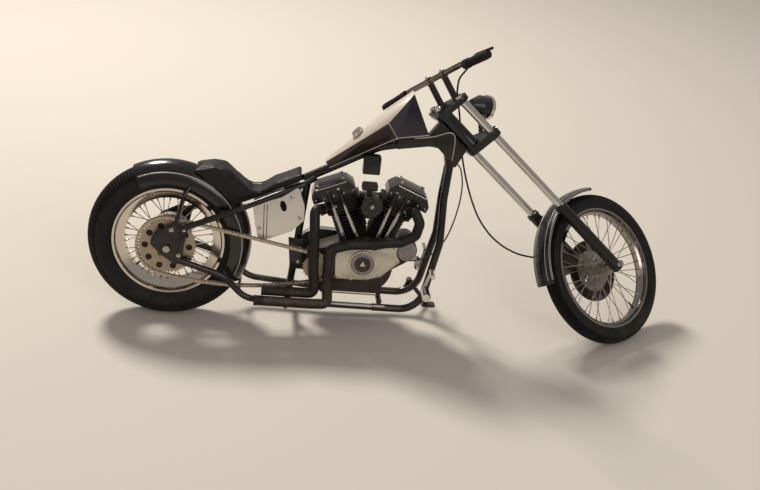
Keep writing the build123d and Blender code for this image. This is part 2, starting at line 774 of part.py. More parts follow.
def radial_plane(centre, angle):
    """Plane through a wheel's axle line, its X outwards at an angle from forwards and its Y along the axle."""
    return Plane(origin=centre, x_dir=(cos(radians(angle)), 0, sin(radians(angle))),
                 z_dir=(-sin(radians(angle)), 0, cos(radians(angle))))


strut_top = around_rear(rear_fender_crown - rear_fender_half, 72, rear_fender_half + 1)
strut_table = [(31, rear_half - 2, rear_radius + 99),
               (strut_top[0] * 0.7, (rear_half + rear_fender_half) / 2 + 2, rear_radius + 0.85 * (strut_top[2] - rear_radius)),
               strut_top]
stay_spot = around_rear(rear_fender_crown + 5, rear_fender_start)
with BuildPart() as rear_fender:
    with BuildSketch(radial_plane(rear_centre, rear_fender_start)) as section:
        fender_section(rear_fender_crown, rear_fender_half, rear_fender_skirt, fender_wall)
    revolve(section.sketch, axis=Axis(rear_centre, (0, -1, 0)),
            revolution_arc=rear_fender_end - rear_fender_start)
    for side in (-1, 1):
        tube([(x, side * y, z) for x, y, z in strut_table], 8, 40)
    tube([(stay_spot[0], -rear_half, stay_spot[2]), (stay_spot[0], rear_half, stay_spot[2])], 7, 1)
    add(frame_lower_rails.part, mode=Mode.SUBTRACT)
    add(frame_seat_rails.part, mode=Mode.SUBTRACT)
    add(axle_plates.part, mode=Mode.SUBTRACT)
keep(rear_fender, "rear_fender", "root")

seat_half = 70
# Seat's hump over the fender: angle about the rear axle, rise above the fender's crown, corner radius
hump_table = [(74.9, -3, 1), (64.9, 41, 26), (57.5, 64, 34), (41, 67, 20), (37, 68, 24)]
# Seat's front half: X, Z, corner radius
seat_table = [(374, 605, 30), (437, 652, 20), (553, 708, 10), (558, 677, 4), (276, 531, 4)]
seat_rear_low = around_rear(rear_fender_crown - 16, 73)
seat_front_low = around_rear(rear_fender_crown - 41, 33.4)
with BuildPart() as seat:
    with BuildSketch(Plane.XZ):
        hump = [(around_rear(rear_fender_crown + rise, angle), radius) for angle, rise, radius in hump_table]
        rounded_outline([(spot[0], spot[2], radius) for spot, radius in hump] + seat_table
                        + [(seat_front_low[0], seat_front_low[2], 4), (seat_rear_low[0], seat_rear_low[2], 2)])
    extrude(amount=seat_half, both=True)
    with BuildSketch(REAR_RADIAL) as hollow:
        with BuildLine() as outline:
            centre = rear_fender_crown - rear_fender_half
            crown = ThreePointArc((centre, -rear_fender_half - seat_gap), (rear_fender_crown + seat_gap, 0),
                                  (centre, rear_fender_half + seat_gap))
            Polyline(crown @ 0, (0, -rear_fender_half - seat_gap), (0, rear_fender_half + seat_gap), crown @ 1)
        make_face(outline.line)
    revolve(hollow.sketch, axis=rear_turn, mode=Mode.SUBTRACT)
    add(frame_seat_rails.part, mode=Mode.SUBTRACT)
    add(frame_backbone.part, mode=Mode.SUBTRACT)
    add(frame_seat_post.part, mode=Mode.SUBTRACT)
keep(seat, "seat", "root")

tank_side = 82
oil_rear = [around_rear(rear_fender_crown + gap, angle) for gap, angle in ((32, 6.2), (28, 17.7), (48, 30.1))]
oil_front = [(472, 600), (539, 650), (569, 556), (572, 502), (524, 449)]
with BuildPart() as oil_tank:
    with BuildSketch(Plane.XZ.offset(-tank_side)):
        rounded_outline([(x, z, 12) for x, y, z in oil_rear] + [(x, z, 12) for x, z in oil_front])
    extrude(amount=2 * tank_side)
    add(frame_seat_rails.part, mode=Mode.SUBTRACT)
    add(frame_seat_post.part, mode=Mode.SUBTRACT)
    add(crankcase.part, mode=Mode.SUBTRACT)
keep(oil_tank, "oil_tank", "root")

with BuildPart() as coil_box:
    with BuildSketch(Plane.XZ.offset(24)):
        with Locations((838, 766)):
            Rectangle(74, 80)
    extrude(amount=46)
    fillet(edges().filter_by(Axis.Y), 6)
    with BuildSketch(Plane.XZ.offset(8)):
        with Locations((832, 788)):
            Rectangle(30, 16)
    extrude(amount=20)
    add(frame_backbone.part, mode=Mode.SUBTRACT)
keep(coil_box, "coil_box", "root")

clutch_cable_route = [(1190, 0, 792), (1224, -6, 776), (1243, -13, 710), (1243, -20, 630), (1229, -26, 540),
                      (1207, -30, 460), (1172, -33, 394), (1124, -36, 352), (1064, -39, 334), (1000, -40, 334)]
with BuildPart() as clutch_cable:
    cable(clutch_cable_route, 3)
    add(frame_neck.part, mode=Mode.SUBTRACT)
    add(crankcase.part, mode=Mode.SUBTRACT)
keep(clutch_cable, "clutch_cable", "root")

# Side stand

stand_pivot = (head_x - 111, 128, 168)
stand_foot_x = head_x - 6
stand_foot_y = 158
settled_pitch = 0
for step in range(5):
    tilt = Location((0, 0, 0), (0, settled_pitch, 0)) * Location((0, 0, 0), (-lean, 0, 0))
    rear_spot = (tilt * Location(rear_centre)).position
    rear_side = (tilt * Location((0, 1, rear_radius))).position - rear_spot
    front_spot = (tilt * steered * Location(front_centre)).position
    front_side = (tilt * steered * Location((wheelbase, 1, front_radius))).position - front_spot
    rear_low = lowest(rear_spot, rear_side, rear_radius, rear_section)
    front_low = lowest(front_spot, front_side, front_radius, front_section)
    settled_pitch += degrees((front_low - rear_low) / (front_spot.X - rear_spot.X))
parked = Location((0, 0, -rear_low)) * tilt
FLOOR = Plane(parked.inverse())
floor_slope = FLOOR.z_dir
stand_foot_z = FLOOR.origin.Z - ((stand_foot_x - FLOOR.origin.X) * floor_slope.X
                           + (stand_foot_y - FLOOR.origin.Y) * floor_slope.Y) / floor_slope.Z

with BuildPart() as side_stand:
    tube([stand_pivot, (stand_foot_x - 8, stand_foot_y, stand_foot_z + 10)], 10, 1)
    with BuildSketch(Plane.XZ.offset(-stand_pivot[1] + 12)):
        with Locations((stand_pivot[0], stand_pivot[2])):
            Circle(15)
    extrude(amount=-24)
    with BuildSketch(FLOOR):
        with Locations(FLOOR.to_local_coords(Vector(stand_foot_x, stand_foot_y, stand_foot_z))):
            RectangleRounded(64, 38, 12)
    extrude(amount=9)
    split(bisect_by=FLOOR, keep=Keep.TOP)
keep(side_stand, "side_stand", "side_stand")

with BuildPart() as stand_bracket:
    with BuildSketch(Plane.XZ.offset(-stand_pivot[1] + 12 + seat_gap)):
        with Locations((stand_pivot[0], stand_pivot[2])):
            Circle(17)
        Polygon(*[(stand_pivot[0] + x, stand_pivot[2] + z) for x, z in ((-35, -38), (11, -28), (13, 7), (-13, 7))],
                align=None)
    extrude(amount=12)
    add(frame_downtubes.part, mode=Mode.SUBTRACT)
keep(stand_bracket, "stand_bracket", "root")

# Foot controls

peg_x = head_x - 80
peg_z = 240
peg_radius = 17
peg_start = 132
peg_end = 222
pedal_x = peg_x + 24
pedal_z = 326
with BuildPart() as foot_pegs:
    tube([(peg_x + 14, rail_half - 10, peg_z - 6), (peg_x, peg_start - 4, peg_z), (peg_x, peg_end - 20, peg_z)], 9, 18)
    tube([(peg_x, peg_start, peg_z), (peg_x, peg_end, peg_z)], peg_radius, 1)
    tube([(peg_x, peg_start - 14, peg_z), (pedal_x, peg_start - 8, pedal_z)], 7, 1)
    tube([(pedal_x, peg_start - 14, pedal_z), (pedal_x, peg_start + 62, pedal_z)], 10, 1)
    mirror(about=Plane.XZ)
    add(frame_downtubes.part, mode=Mode.SUBTRACT)
keep(foot_pegs, "foot_pegs", "root")

# Fork and front end


def clamp_sketch():
    """Three-bolt clamp outline: two leg eyes and the stem's boss."""
    with Locations((0, leg_half), (0, -leg_half)):
        Circle(leg_radius + 12)
    with Locations((-fork_offset, 0)):
        Circle(38)
    make_hull()
    with Locations((0, leg_half), (0, -leg_half)):
        Circle(leg_radius + 0.2, mode=Mode.SUBTRACT)


with BuildPart() as lower_clamp:
    with BuildSketch(FORK.offset(lower_clamp_low)):
        clamp_sketch()
    extrude(amount=lower_clamp_high - lower_clamp_low)
    with BuildSketch(STEM.offset(lower_clamp_high)):
        Circle(15)
    extrude(amount=upper_clamp_low - lower_clamp_high - seat_gap)
keep(lower_clamp, "lower_clamp", "fork")

with BuildPart() as upper_clamp:
    with BuildSketch(FORK.offset(upper_clamp_low)):
        clamp_sketch()
    extrude(amount=upper_clamp_high - upper_clamp_low)
    with BuildSketch(STEM.offset(upper_clamp_high)):
        RegularPolygon(20, 6)
    extrude(amount=14)
    for y in (-48, 48):
        tube([fork_vector(14, y, upper_clamp_high - 6), fork_vector(bar_u, y, bar_s - 2)], 14, 1)
keep(upper_clamp, "upper_clamp", "fork")

with BuildPart() as fork_tubes:
    with BuildSketch(FORK.offset(slider_top - 160)):
        with Locations((0, leg_half), (0, -leg_half)):
            Circle(leg_radius)
    extrude(amount=leg_top + 8 - slider_top + 160)
keep(fork_tubes, "fork_tubes", "fork")

with BuildPart() as fork_sliders:
    with BuildSketch(FORK.offset(slider_low)):
        with Locations((0, leg_half), (0, -leg_half)):
            Circle(slider_radius)
    extrude(amount=slider_top - slider_low)
    with BuildSketch(FORK.offset(slider_top - 161)):
        with Locations((0, leg_half), (0, -leg_half)):
            Circle(leg_radius + 0.2)
    extrude(amount=200, mode=Mode.SUBTRACT)
    with BuildSketch(FRONT_AXLE.offset(-leg_half - slider_radius - 1)):
        Circle(axle_radius + 0.1)
    extrude(amount=2 * leg_half + 2 * slider_radius + 2, mode=Mode.SUBTRACT)
keep(fork_sliders, "fork_sliders", "fork")

front_axle_half = leg_half + slider_radius + 14
with BuildPart() as front_axle:
    with BuildSketch(FRONT_AXLE.offset(-front_axle_half)):
        Circle(axle_radius)
    extrude(amount=2 * front_axle_half)
    with BuildSketch(FRONT_AXLE.offset(leg_half + slider_radius + seat_gap),
                     FRONT_AXLE.offset(-leg_half - slider_radius - seat_gap - 11)):
        RegularPolygon(16, 6)
    extrude(amount=11)
    with BuildSketch(FRONT_AXLE.offset(front_hub_half + 2)):
        Circle(16)
    extrude(amount=leg_half - slider_radius - front_hub_half - 2 - seat_gap)
keep(front_axle, "front_axle", "fork")

grip_start = 232
bar_end = 356
bar_line = [(bar_u - 26, -bar_end, bar_s), (bar_u, -170, bar_s + 4), (bar_u, 170, bar_s + 4),
            (bar_u - 26, bar_end, bar_s)]
with BuildPart() as handlebar:
    tube([fork_vector(*point) for point in bar_line], bar_radius, 120)
    add(upper_clamp.part, mode=Mode.SUBTRACT)
keep(handlebar, "handlebar", "fork")

with BuildPart() as hand_controls:
    for side in (-1, 1):
        tube([fork_vector(bar_line[3][0] + 10, side * grip_start, bar_s + 1),
              fork_vector(bar_line[3][0] - 1, side * (bar_end + 4), bar_s)], 17, 1)
        tube([fork_vector(bar_line[3][0] + 12, side * (grip_start - 28), bar_s + 2),
              fork_vector(bar_line[3][0] + 11, side * (grip_start - 2), bar_s + 1)], 21, 1)
        tube([fork_vector(bar_line[3][0] + 30, side * (grip_start - 14), bar_s),
              fork_vector(bar_line[3][0] + 58, side * (grip_start + 14), bar_s),
              fork_vector(bar_line[3][0] + 48, side * (bar_end - 6), bar_s - 4)], 6, 14)
    add(handlebar.part, mode=Mode.SUBTRACT)
keep(hand_controls, "hand_controls", "fork")

lamp_s = 938
lamp_u = 124
lamp_radius = 48
with BuildPart() as headlight:
    lamp_axis = Plane(origin=fork_vector(lamp_u, 0, lamp_s), x_dir=(0, 1, 0), z_dir=(1, 0, -0.06))
    with BuildSketch(lamp_axis):
        Circle(lamp_radius)
    extrude(amount=52)
    with BuildSketch(lamp_axis.offset(44)):
        Circle(lamp_radius + 4)
    extrude(amount=10)
    with BuildSketch(lamp_axis):
        Circle(lamp_radius)
    extrude(amount=-40, taper=30)
    tube([fork_vector(20, 0, lower_clamp_high - 14), fork_vector(lamp_u - 20, 0, lamp_s - 20)], 10, 1)
    add(lower_clamp.part, mode=Mode.SUBTRACT)
keep(headlight, "headlight", "fork")

fender_bracket_s = 350
with BuildPart() as front_fender:
    with BuildSketch(radial_plane(front_centre, front_fender_start)) as section:
        edge = front_fender_edge
        with BuildLine() as outline:
            outer = ThreePointArc((edge, -front_fender_half), (front_fender_crown, 0), (edge, front_fender_half))
            inner = ThreePointArc((edge - fender_wall, fender_wall - front_fender_half),
                                  (front_fender_crown - fender_wall, 0),
                                  (edge - fender_wall, front_fender_half - fender_wall))
            low = edge - front_fender_lip
            Polyline(outer @ 0, (low, -front_fender_half), (low, fender_wall - front_fender_half), inner @ 0)
            Polyline(outer @ 1, (low, front_fender_half), (low, front_fender_half - fender_wall), inner @ 1)
        make_face(outline.line)
    revolve(section.sketch, axis=Axis(front_centre, (0, -1, 0)),
            revolution_arc=front_fender_end - front_fender_start)
    with BuildSketch(FORK.offset(fender_bracket_s)):
        with Locations((0, front_fender_half + 8), (0, -front_fender_half - 8)):
            Rectangle(28, 22)
    extrude(amount=14)
    add(fork_sliders.part, mode=Mode.SUBTRACT)
keep(front_fender, "front_fender", "fork")

with BuildPart() as brake_caliper:
    with BuildSketch(FORK.offset(100)):
        with Locations((-76, disc_offset + 9)):
            Rectangle(66, 46)
        with Locations((-34, disc_offset + 22)):
            Rectangle(40, 18)
    extrude(amount=92)
    with BuildSketch(FRONT_AXLE.offset(-disc_offset - disc_thickness / 2 - 2)):
        Circle(disc_radius + 4)
    extrude(amount=disc_thickness + 4, mode=Mode.SUBTRACT)
    add(fork_sliders.part, mode=Mode.SUBTRACT)
keep(brake_caliper, "brake_caliper", "fork")

# Across the fork, along it and up it, from the right hand control to the caliper
brake_hose_route = [(50, -216, 1153), (62, -160, 1136), (58, -104, 1122), (42, -42, 1068), (26, 0, 1000),
                    (-16, 40, 926), (-50, 62, 879), (-64, 92, 834), (-92, 122, 770), (-150, 130, 690),
                    (-205, 130, 600), (-228, 125, 510), (-224, 120, 430), (-200, 112, 350), (-160, 102, 282),
                    (-118, 90, 222), (-92, 78, 176)]
with BuildPart() as brake_hose:
    cable([fork_vector(*point) for point in brake_hose_route], 4)
    add(hand_controls.part, mode=Mode.SUBTRACT)
    add(brake_caliper.part, mode=Mode.SUBTRACT)
keep(brake_hose, "brake_hose", "fork")

# Parked pose, with the origin on the floor under the middle of the whole machine

poses = {"root": parked, "rear_wheel": parked, "side_stand": parked,
         "fork": parked * steered, "front_wheel": parked * steered}
whole = Compound(children=[builder.part.moved(poses[body]) for builder, label, body in parts])
box = whole.bounding_box()
centred = Location((-box.center().X, -box.center().Y, -box.min.Z))

os.makedirs("parts", exist_ok=True)
for builder, label, body in parts:
    piece = builder.part.moved(centred * poses[body])
    piece.label = label
    export_step(piece, f"parts/{label}.step")


def report(name, point, direction, pose):
    spot = (centred * pose * Location(point)).position
    tip = (centred * pose * Location(Vector(*point) + Vector(*direction))).position
    turn = (tip - spot).normalized()
    print(f"{name}: pos {spot.X / 1000:.5f} {spot.Y / 1000:.5f} {spot.Z / 1000:.5f}"
          f" axis {turn.X:.6f} {turn.Y:.6f} {turn.Z:.6f}")


report("rear_spin", rear_centre, (0, 1, 0), parked)
report("front_spin", front_centre, (0, 1, 0), parked * steered)
report("steer", STEM.from_local_coords(Vector(0, 0, 950)), STEM.z_dir, parked)
report("stand", stand_pivot, (0, 1, 0), parked)
report("left_peg", (peg_x, (peg_start + peg_end) / 2, peg_z), (0, 1, 0), parked)
report("right_peg", (peg_x, -(peg_start + peg_end) / 2, peg_z), (0, -1, 0), parked)
pad_low, pad_high = seat_table[1], seat_table[2]
report("seat_face", ((pad_low[0] + pad_high[0]) / 2, 0, (pad_low[1] + pad_high[1]) / 2),
       (pad_low[1] - pad_high[1], 0, pad_high[0] - pad_low[0]), parked)
print("box", box.size, "pitch", settled_pitch, "rear_low", rear_low)
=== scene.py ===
"""Looks of the rigid-frame chopper: paint, chrome, leather, tread, chain, fasteners, stripes, camera and daylight."""
import json
import math

import bmesh
import bpy
from mathutils import Matrix, Vector


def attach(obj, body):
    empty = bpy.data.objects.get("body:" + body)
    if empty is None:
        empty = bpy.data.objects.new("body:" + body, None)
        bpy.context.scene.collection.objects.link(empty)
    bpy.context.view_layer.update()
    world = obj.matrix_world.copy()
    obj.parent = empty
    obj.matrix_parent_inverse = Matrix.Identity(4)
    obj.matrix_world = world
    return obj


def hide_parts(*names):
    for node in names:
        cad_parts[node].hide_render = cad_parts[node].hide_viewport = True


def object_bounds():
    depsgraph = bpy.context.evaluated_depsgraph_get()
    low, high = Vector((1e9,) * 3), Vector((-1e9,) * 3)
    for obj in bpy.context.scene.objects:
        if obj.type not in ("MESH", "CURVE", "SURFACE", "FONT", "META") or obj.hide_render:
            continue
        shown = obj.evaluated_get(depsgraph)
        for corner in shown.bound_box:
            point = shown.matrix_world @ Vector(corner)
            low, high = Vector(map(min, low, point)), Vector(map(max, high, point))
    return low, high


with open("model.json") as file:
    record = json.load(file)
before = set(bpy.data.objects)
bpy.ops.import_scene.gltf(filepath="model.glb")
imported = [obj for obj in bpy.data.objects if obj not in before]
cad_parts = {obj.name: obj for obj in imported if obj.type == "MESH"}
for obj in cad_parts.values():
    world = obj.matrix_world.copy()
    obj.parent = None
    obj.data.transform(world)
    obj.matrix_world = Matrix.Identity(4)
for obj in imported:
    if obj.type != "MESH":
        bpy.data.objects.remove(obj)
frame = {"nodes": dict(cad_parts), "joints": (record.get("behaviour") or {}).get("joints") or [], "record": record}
nodes = frame["nodes"]
joints = {joint["name"]: joint for joint in frame["joints"]}
cad_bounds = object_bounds()
scene = bpy.context.scene

# The machine's own frames, in metres: upright bike, steered fork and the two wheels

MM = 0.001
RAKE = math.radians(49)
REAR_RADIUS = 347
FRONT_RADIUS = 345

stem_line = Vector(joints["steering"]["axis"]).normalized()
bike_left = Vector(joints["rear_wheel_spin"]["axis"]).normalized()
fork_left = Vector(joints["front_wheel_spin"]["axis"]).normalized()
rear_axle = Vector(joints["rear_wheel_spin"]["pos_m"])
front_axle = Vector(joints["front_wheel_spin"]["pos_m"])
fork_ahead = fork_left.cross(stem_line)


def wheel_plane(ahead):
    """The ways ahead and up of a wheel's plane, from the way ahead that is square to the stem."""
    return (ahead * math.cos(RAKE) - stem_line * math.sin(RAKE),
            ahead * math.sin(RAKE) + stem_line * math.cos(RAKE))


def frame_matrix(ahead, left, up, origin):
    """A matrix from local X, Y and Z to the row's frame."""
    axes = Matrix((ahead, left, up)).transposed()
    return Matrix.Translation(origin) @ axes.to_4x4()


bike_ahead, bike_up = wheel_plane(bike_left.cross(stem_line))
front_ahead, front_up = wheel_plane(fork_ahead)
BIKE = frame_matrix(bike_ahead, bike_left, bike_up, rear_axle - bike_up * REAR_RADIUS * MM)
FORK = frame_matrix(fork_ahead, fork_left, stem_line, front_axle)
REAR_WHEEL = frame_matrix(bike_ahead, bike_left, bike_up, rear_axle)
FRONT_WHEEL = frame_matrix(front_ahead, fork_left, front_up, front_axle)


def place(base, x, y, z):
    """A point given in millimetres in one of the machine's frames."""
    return base @ (Vector((x, y, z)) * MM)


# Shader groups


def new_group(name, outputs, **inputs):
    """An empty shader group whose inputs are numbers or vectors, with its input and output sockets."""
    group = bpy.data.node_groups.new(name, "ShaderNodeTree")
    for label, value in inputs.items():
        kind = "NodeSocketVector" if isinstance(value, tuple) else "NodeSocketFloat"
        socket = group.interface.new_socket(name=label, in_out="INPUT", socket_type=kind)
        socket.default_value = value
    for label in outputs:
        group.interface.new_socket(name=label, in_out="OUTPUT", socket_type="NodeSocketFloat")
    return group, group.nodes.new("NodeGroupInput").outputs, group.nodes.new("NodeGroupOutput").inputs


def feed(tree, socket, value):
    """Gives a socket a value, or a link where the value is a socket itself."""
    if isinstance(value, bpy.types.NodeSocket):
        tree.links.new(value, socket)
    else:
        socket.default_value = value


def add_node(tree, kind, **inputs):
    """A shader node with these inputs fed."""
    node = tree.nodes.new("ShaderNode" + kind)
    for label, value in inputs.items():
        feed(tree, node.inputs[label.replace("_", " ")], value)
    return node


def math_node(tree, operation, *operands, kind="Math", result="Value"):
    """The result of a math node whose operands are sockets or numbers."""
    node = tree.nodes.new("ShaderNode" + kind)
    node.operation = operation
    for socket, value in zip(node.inputs, operands):
        feed(tree, socket, value)
    return node.outputs[result]


def vector_node(tree, operation, *operands, result="Vector"):
    """The result of a vector math node."""
    return math_node(tree, operation, *operands, kind="VectorMath", result=result)


def product(tree, first, *others):
    """Values multiplied one after the other."""
    for value in others:
        first = math_node(tree, "MULTIPLY", first, value)
    return first


def ramp(tree, value, low, high):
    """A clamped rise from 0 at low to 1 at high."""
    node = add_node(tree, "MapRange", Value=value, From_Min=low, From_Max=high)
    node.interpolation_type = "SMOOTHSTEP"
    return node.outputs["Result"]


def own_place(tree):
    """The piece's own coordinates."""
    return add_node(tree, "TexCoord").outputs["Object"]


def height_of(tree, vector):
    """The upward part of a vector."""
    return add_node(tree, "SeparateXYZ", Vector=vector).outputs["Z"]


def object_noise(tree, scale, detail, roughness):
    """Noise in the piece's own coordinates; the scale is a socket or a number."""
    noise = add_node(tree, "TexNoise", Vector=own_place(tree), Scale=scale, Detail=detail, Roughness=roughness)
    return noise.outputs["Fac"]


# Where paint rubs thin along edges, broken up by noise
WEAR, given, result = new_group("edge_wear", ["Mask"], Radius=0.002, Amount=0.5)
bevel = add_node(WEAR, "Bevel", Radius=given["Radius"])
bevel.samples = 4
normal = add_node(WEAR, "NewGeometry").outputs["Normal"]
alike = vector_node(WEAR, "DOT_PRODUCT", bevel.outputs["Normal"], normal, result="Value")
bend = ramp(WEAR, math_node(WEAR, "SUBTRACT", 1.0, alike), 0.02, 0.2)
patches = ramp(WEAR, object_noise(WEAR, 60.0, 4.0, 0.7), 0.42, 0.62)
feed(WEAR, result["Mask"], product(WEAR, bend, patches, given["Amount"]))

# Dust that lies on upward faces and low down, in soft patches
DUST, given, result = new_group("road_dust", ["Mask"], Amount=0.3, Height=0.5)
upward = ramp(DUST, height_of(DUST, add_node(DUST, "NewGeometry").outputs["Normal"]), -0.6, 0.9)
share = math_node(DUST, "DIVIDE", height_of(DUST, own_place(DUST)), given["Height"])
low = add_node(DUST, "Clamp", Value=math_node(DUST, "SUBTRACT", 1.15, share), Min=0.18).outputs[0]
patches = ramp(DUST, object_noise(DUST, 16.0, 6.0, 0.62), 0.3, 0.78)
feed(DUST, result["Mask"], product(DUST, upward, low, patches, given["Amount"]))

# Slow and fine variation of a surface, centred on the given level
MOTTLE, given, result = new_group("mottle", ["Value", "Fine"], Scale=30.0, Level=0.3, Spread=0.1)
coarse = object_noise(MOTTLE, given["Scale"], 4.0, 0.6)
shift = product(MOTTLE, math_node(MOTTLE, "SUBTRACT", coarse, 0.5), 2.0, given["Spread"])
feed(MOTTLE, result["Value"], math_node(MOTTLE, "ADD", shift, given["Level"]))
feed(MOTTLE, result["Fine"], object_noise(MOTTLE, product(MOTTLE, given["Scale"], 12.0), 2.0, 0.5))

# Pebbled grain with soft creases, as a height
GRAIN, given, result = new_group("leather_grain", ["Height"], Scale=900.0)
cells = add_node(GRAIN, "TexVoronoi", Vector=own_place(GRAIN), Scale=given["Scale"])
cells.feature = "SMOOTH_F1"
pebbles = product(GRAIN, cells.outputs["Distance"], 0.5)
creases = product(GRAIN, object_noise(GRAIN, 14.0, 5.0, 0.65), 1.6)
feed(GRAIN, result["Height"], math_node(GRAIN, "ADD", pebbles, creases))

# A darker band between two distances from an axle, broken into patches: on the rear rim a painted dark reflection
# along the rim's inner step, on the front rim and the brake disc a darkened ring
RING_BLUR = 0.0015
RING, given, result = new_group("axle_ring", ["Mask"], Centre=(0, 0, 0), Axis=(0, 1, 0), Inner=0.2, Outer=0.21)
away = vector_node(RING, "SUBTRACT", own_place(RING), given["Centre"])
distance = vector_node(RING, "LENGTH", vector_node(RING, "CROSS_PRODUCT", away, given["Axis"]), result="Value")
rise = math_node(RING, "DIVIDE", math_node(RING, "SUBTRACT", distance, given["Inner"]), RING_BLUR)
fall = math_node(RING, "DIVIDE", math_node(RING, "SUBTRACT", given["Outer"], distance), RING_BLUR)
band = add_node(RING, "Clamp", Value=math_node(RING, "MINIMUM", rise, fall)).outputs[0]
patches = ramp(RING, object_noise(RING, 22.0, 4.0, 0.6), 0.2, 0.5)
feed(RING, result["Mask"], product(RING, band, patches))

DUST_COLOUR = (0.36, 0.27, 0.19, 1)
DARK_RING_COLOUR = (0.035, 0.028, 0.022, 1)


# Materials

def group_node(tree, group, **values):
    """A placed shader group with its own values."""
    node = tree.nodes.new("ShaderNodeGroup")
    node.node_tree = group
    for label, value in values.items():
        node.inputs[label].default_value = value
    return node


def mix_colour(tree, factor, first, second):
    """A colour mix whose ends are colours or sockets."""
    node = tree.nodes.new("ShaderNodeMix")
    node.data_type = "RGBA"
    feed(tree, node.inputs["Factor"], factor)
    feed(tree, node.inputs[6], first)
    feed(tree, node.inputs[7], second)
    return node.outputs[2]


finishes = {}


def finish(key, colour, second, roughness, metallic=0.0, coat=0.0, wear=None, wear_amount=0.5, dust=0.3,
           dust_height=0.5, spread=0.08, scale=30.0, bump=0.05, leather=False, dark_ring=None, name=None):
    """A finish with mottled colour and roughness, rubbed edges, dust, a fine bump and any darker axle ring, kept
    under its key.
    """
    material = bpy.data.materials.new(name or key)
    material.use_nodes = True
    tree = material.node_tree
    shader = tree.nodes["Principled BSDF"]
    shader.inputs["Metallic"].default_value = metallic
    shader.inputs["Coat Weight"].default_value = coat
    shader.inputs["Coat Roughness"].default_value = 0.10
    shader.inputs["Specular IOR Level"].default_value = 0.30
    mottle = group_node(tree, MOTTLE, Scale=scale, Level=roughness, Spread=spread)
    tone = mix_colour(tree, ramp(tree, mottle.outputs["Fine"], 0.3, 0.7), (*colour, 1), (*second, 1))
    if wear:
        worn = group_node(tree, WEAR, Radius=0.0022, Amount=wear_amount)
        tone = mix_colour(tree, worn.outputs["Mask"], tone, (*wear, 1))
    # A darker ring about an axle; on the rear rim it is a painted dark reflection
    if dark_ring:
        centre, axis, inner, outer = dark_ring
        ring = group_node(tree, RING, Centre=centre, Axis=axis, Inner=inner * MM, Outer=outer * MM)
        tone = mix_colour(tree, ring.outputs["Mask"], tone, DARK_RING_COLOUR)
    dusty = group_node(tree, DUST, Amount=dust, Height=dust_height).outputs["Mask"]
    feed(tree, shader.inputs["Base Color"], mix_colour(tree, dusty, tone, DUST_COLOUR))
    feed(tree, shader.inputs["Roughness"], math_node(tree, "ADD", mottle.outputs["Value"], product(tree, dusty, 0.5)))
    grain = group_node(tree, GRAIN, Scale=520.0).outputs["Height"] if leather else mottle.outputs["Fine"]
    relief = add_node(tree, "Bump", Strength=bump, Distance=0.001, Height=grain)
    feed(tree, shader.inputs["Normal"], relief.outputs["Normal"])
    finishes[key] = material


BARE_STEEL = (0.30, 0.26, 0.22)
BARE_ALLOY = (0.75, 0.71, 0.64)
RUBBED_PAINT = (0.5, 0.45, 0.4)
REAR_HUB_LINE = (tuple(rear_axle), tuple(bike_left))
FRONT_HUB_LINE = (tuple(front_axle), tuple(fork_left))

finish("frame_paint", (0.006, 0.0045, 0.005), (0.010, 0.007, 0.008), 0.24, coat=0.35, wear=BARE_STEEL,
       wear_amount=0.3, name="frame_black")
finish("fender_paint", (0.005, 0.004, 0.005), (0.008, 0.006, 0.007), 0.24, coat=0.6, dust=0.15, name="fender_black")
finish("tank_umber", (0.020, 0.011, 0.008), (0.030, 0.018, 0.013), 0.24, coat=0.45, dust=0.15)
finish("tank_navy", (0.008, 0.007, 0.020), (0.013, 0.011, 0.030), 0.22, coat=0.45, dust=0.1)
# Pale cream for the tank's top facets: a painted sunlit sheen
finish("tank_sunlit_cream", (0.66, 0.57, 0.46), (0.74, 0.65, 0.54), 0.26, coat=0.5, dust=0.15)
finish("stripe_silver", (0.42, 0.36, 0.34), (0.52, 0.45, 0.42), 0.32, 0.4, dust=0.1)
# A pale silver for the painted highlights along the lower rails
finish("rail_highlight_silver", (0.62, 0.55, 0.51), (0.70, 0.63, 0.58), 0.30, 0.2, dust=0.1)
finish("chrome_parts", (0.66, 0.62, 0.57), (0.72, 0.68, 0.63), 0.07, 1.0, spread=0.05, bump=0.02,
       name="chrome")
finish("dark_nickel", (0.16, 0.14, 0.13), (0.22, 0.19, 0.175), 0.16, 1.0, spread=0.06,
       wear=(0.6, 0.55, 0.5), bump=0.03)
# Black for the rocker covers is a painted dark reflection of their chrome; other dark parts share it
finish("rocker_black", (0.010, 0.008, 0.009), (0.016, 0.012, 0.013), 0.30, coat=0.3, wear=(0.45, 0.40, 0.36),
       wear_amount=0.9, dust=0.35, bump=0.12, scale=60.0)
finish("black_cast", (0.007, 0.006, 0.006), (0.012, 0.010, 0.010), 0.32, coat=0.2, wear=BARE_STEEL,
       wear_amount=0.4, bump=0.1, scale=60.0, name="slider_black")
finish("pipe_black", (0.006, 0.005, 0.0045), (0.012, 0.009, 0.008), 0.44, wear=(0.14, 0.09, 0.06),
       wear_amount=0.4, dust=0.4, bump=0.12, scale=40.0)
finish("cast_alloy", (0.34, 0.30, 0.26), (0.46, 0.42, 0.36), 0.36, 0.9, wear=BARE_ALLOY, dust=0.4,
       bump=0.25, scale=45.0)
finish("cover_polish", (0.54, 0.50, 0.41), (0.62, 0.57, 0.48), 0.24, 0.9, wear=BARE_ALLOY,
       wear_amount=0.25, dust=0.2, bump=0.03, scale=9.0, spread=0.10)
finish("case_dark", (0.030, 0.025, 0.022), (0.060, 0.050, 0.043), 0.46, 0.5, wear=(0.40, 0.35, 0.30),
       dust=0.28, bump=0.35, scale=50.0)
finish("carb_dark", (0.035, 0.030, 0.028), (0.060, 0.052, 0.048), 0.34, 0.7, wear=(0.5, 0.46, 0.4),
       dust=0.35, bump=0.15)
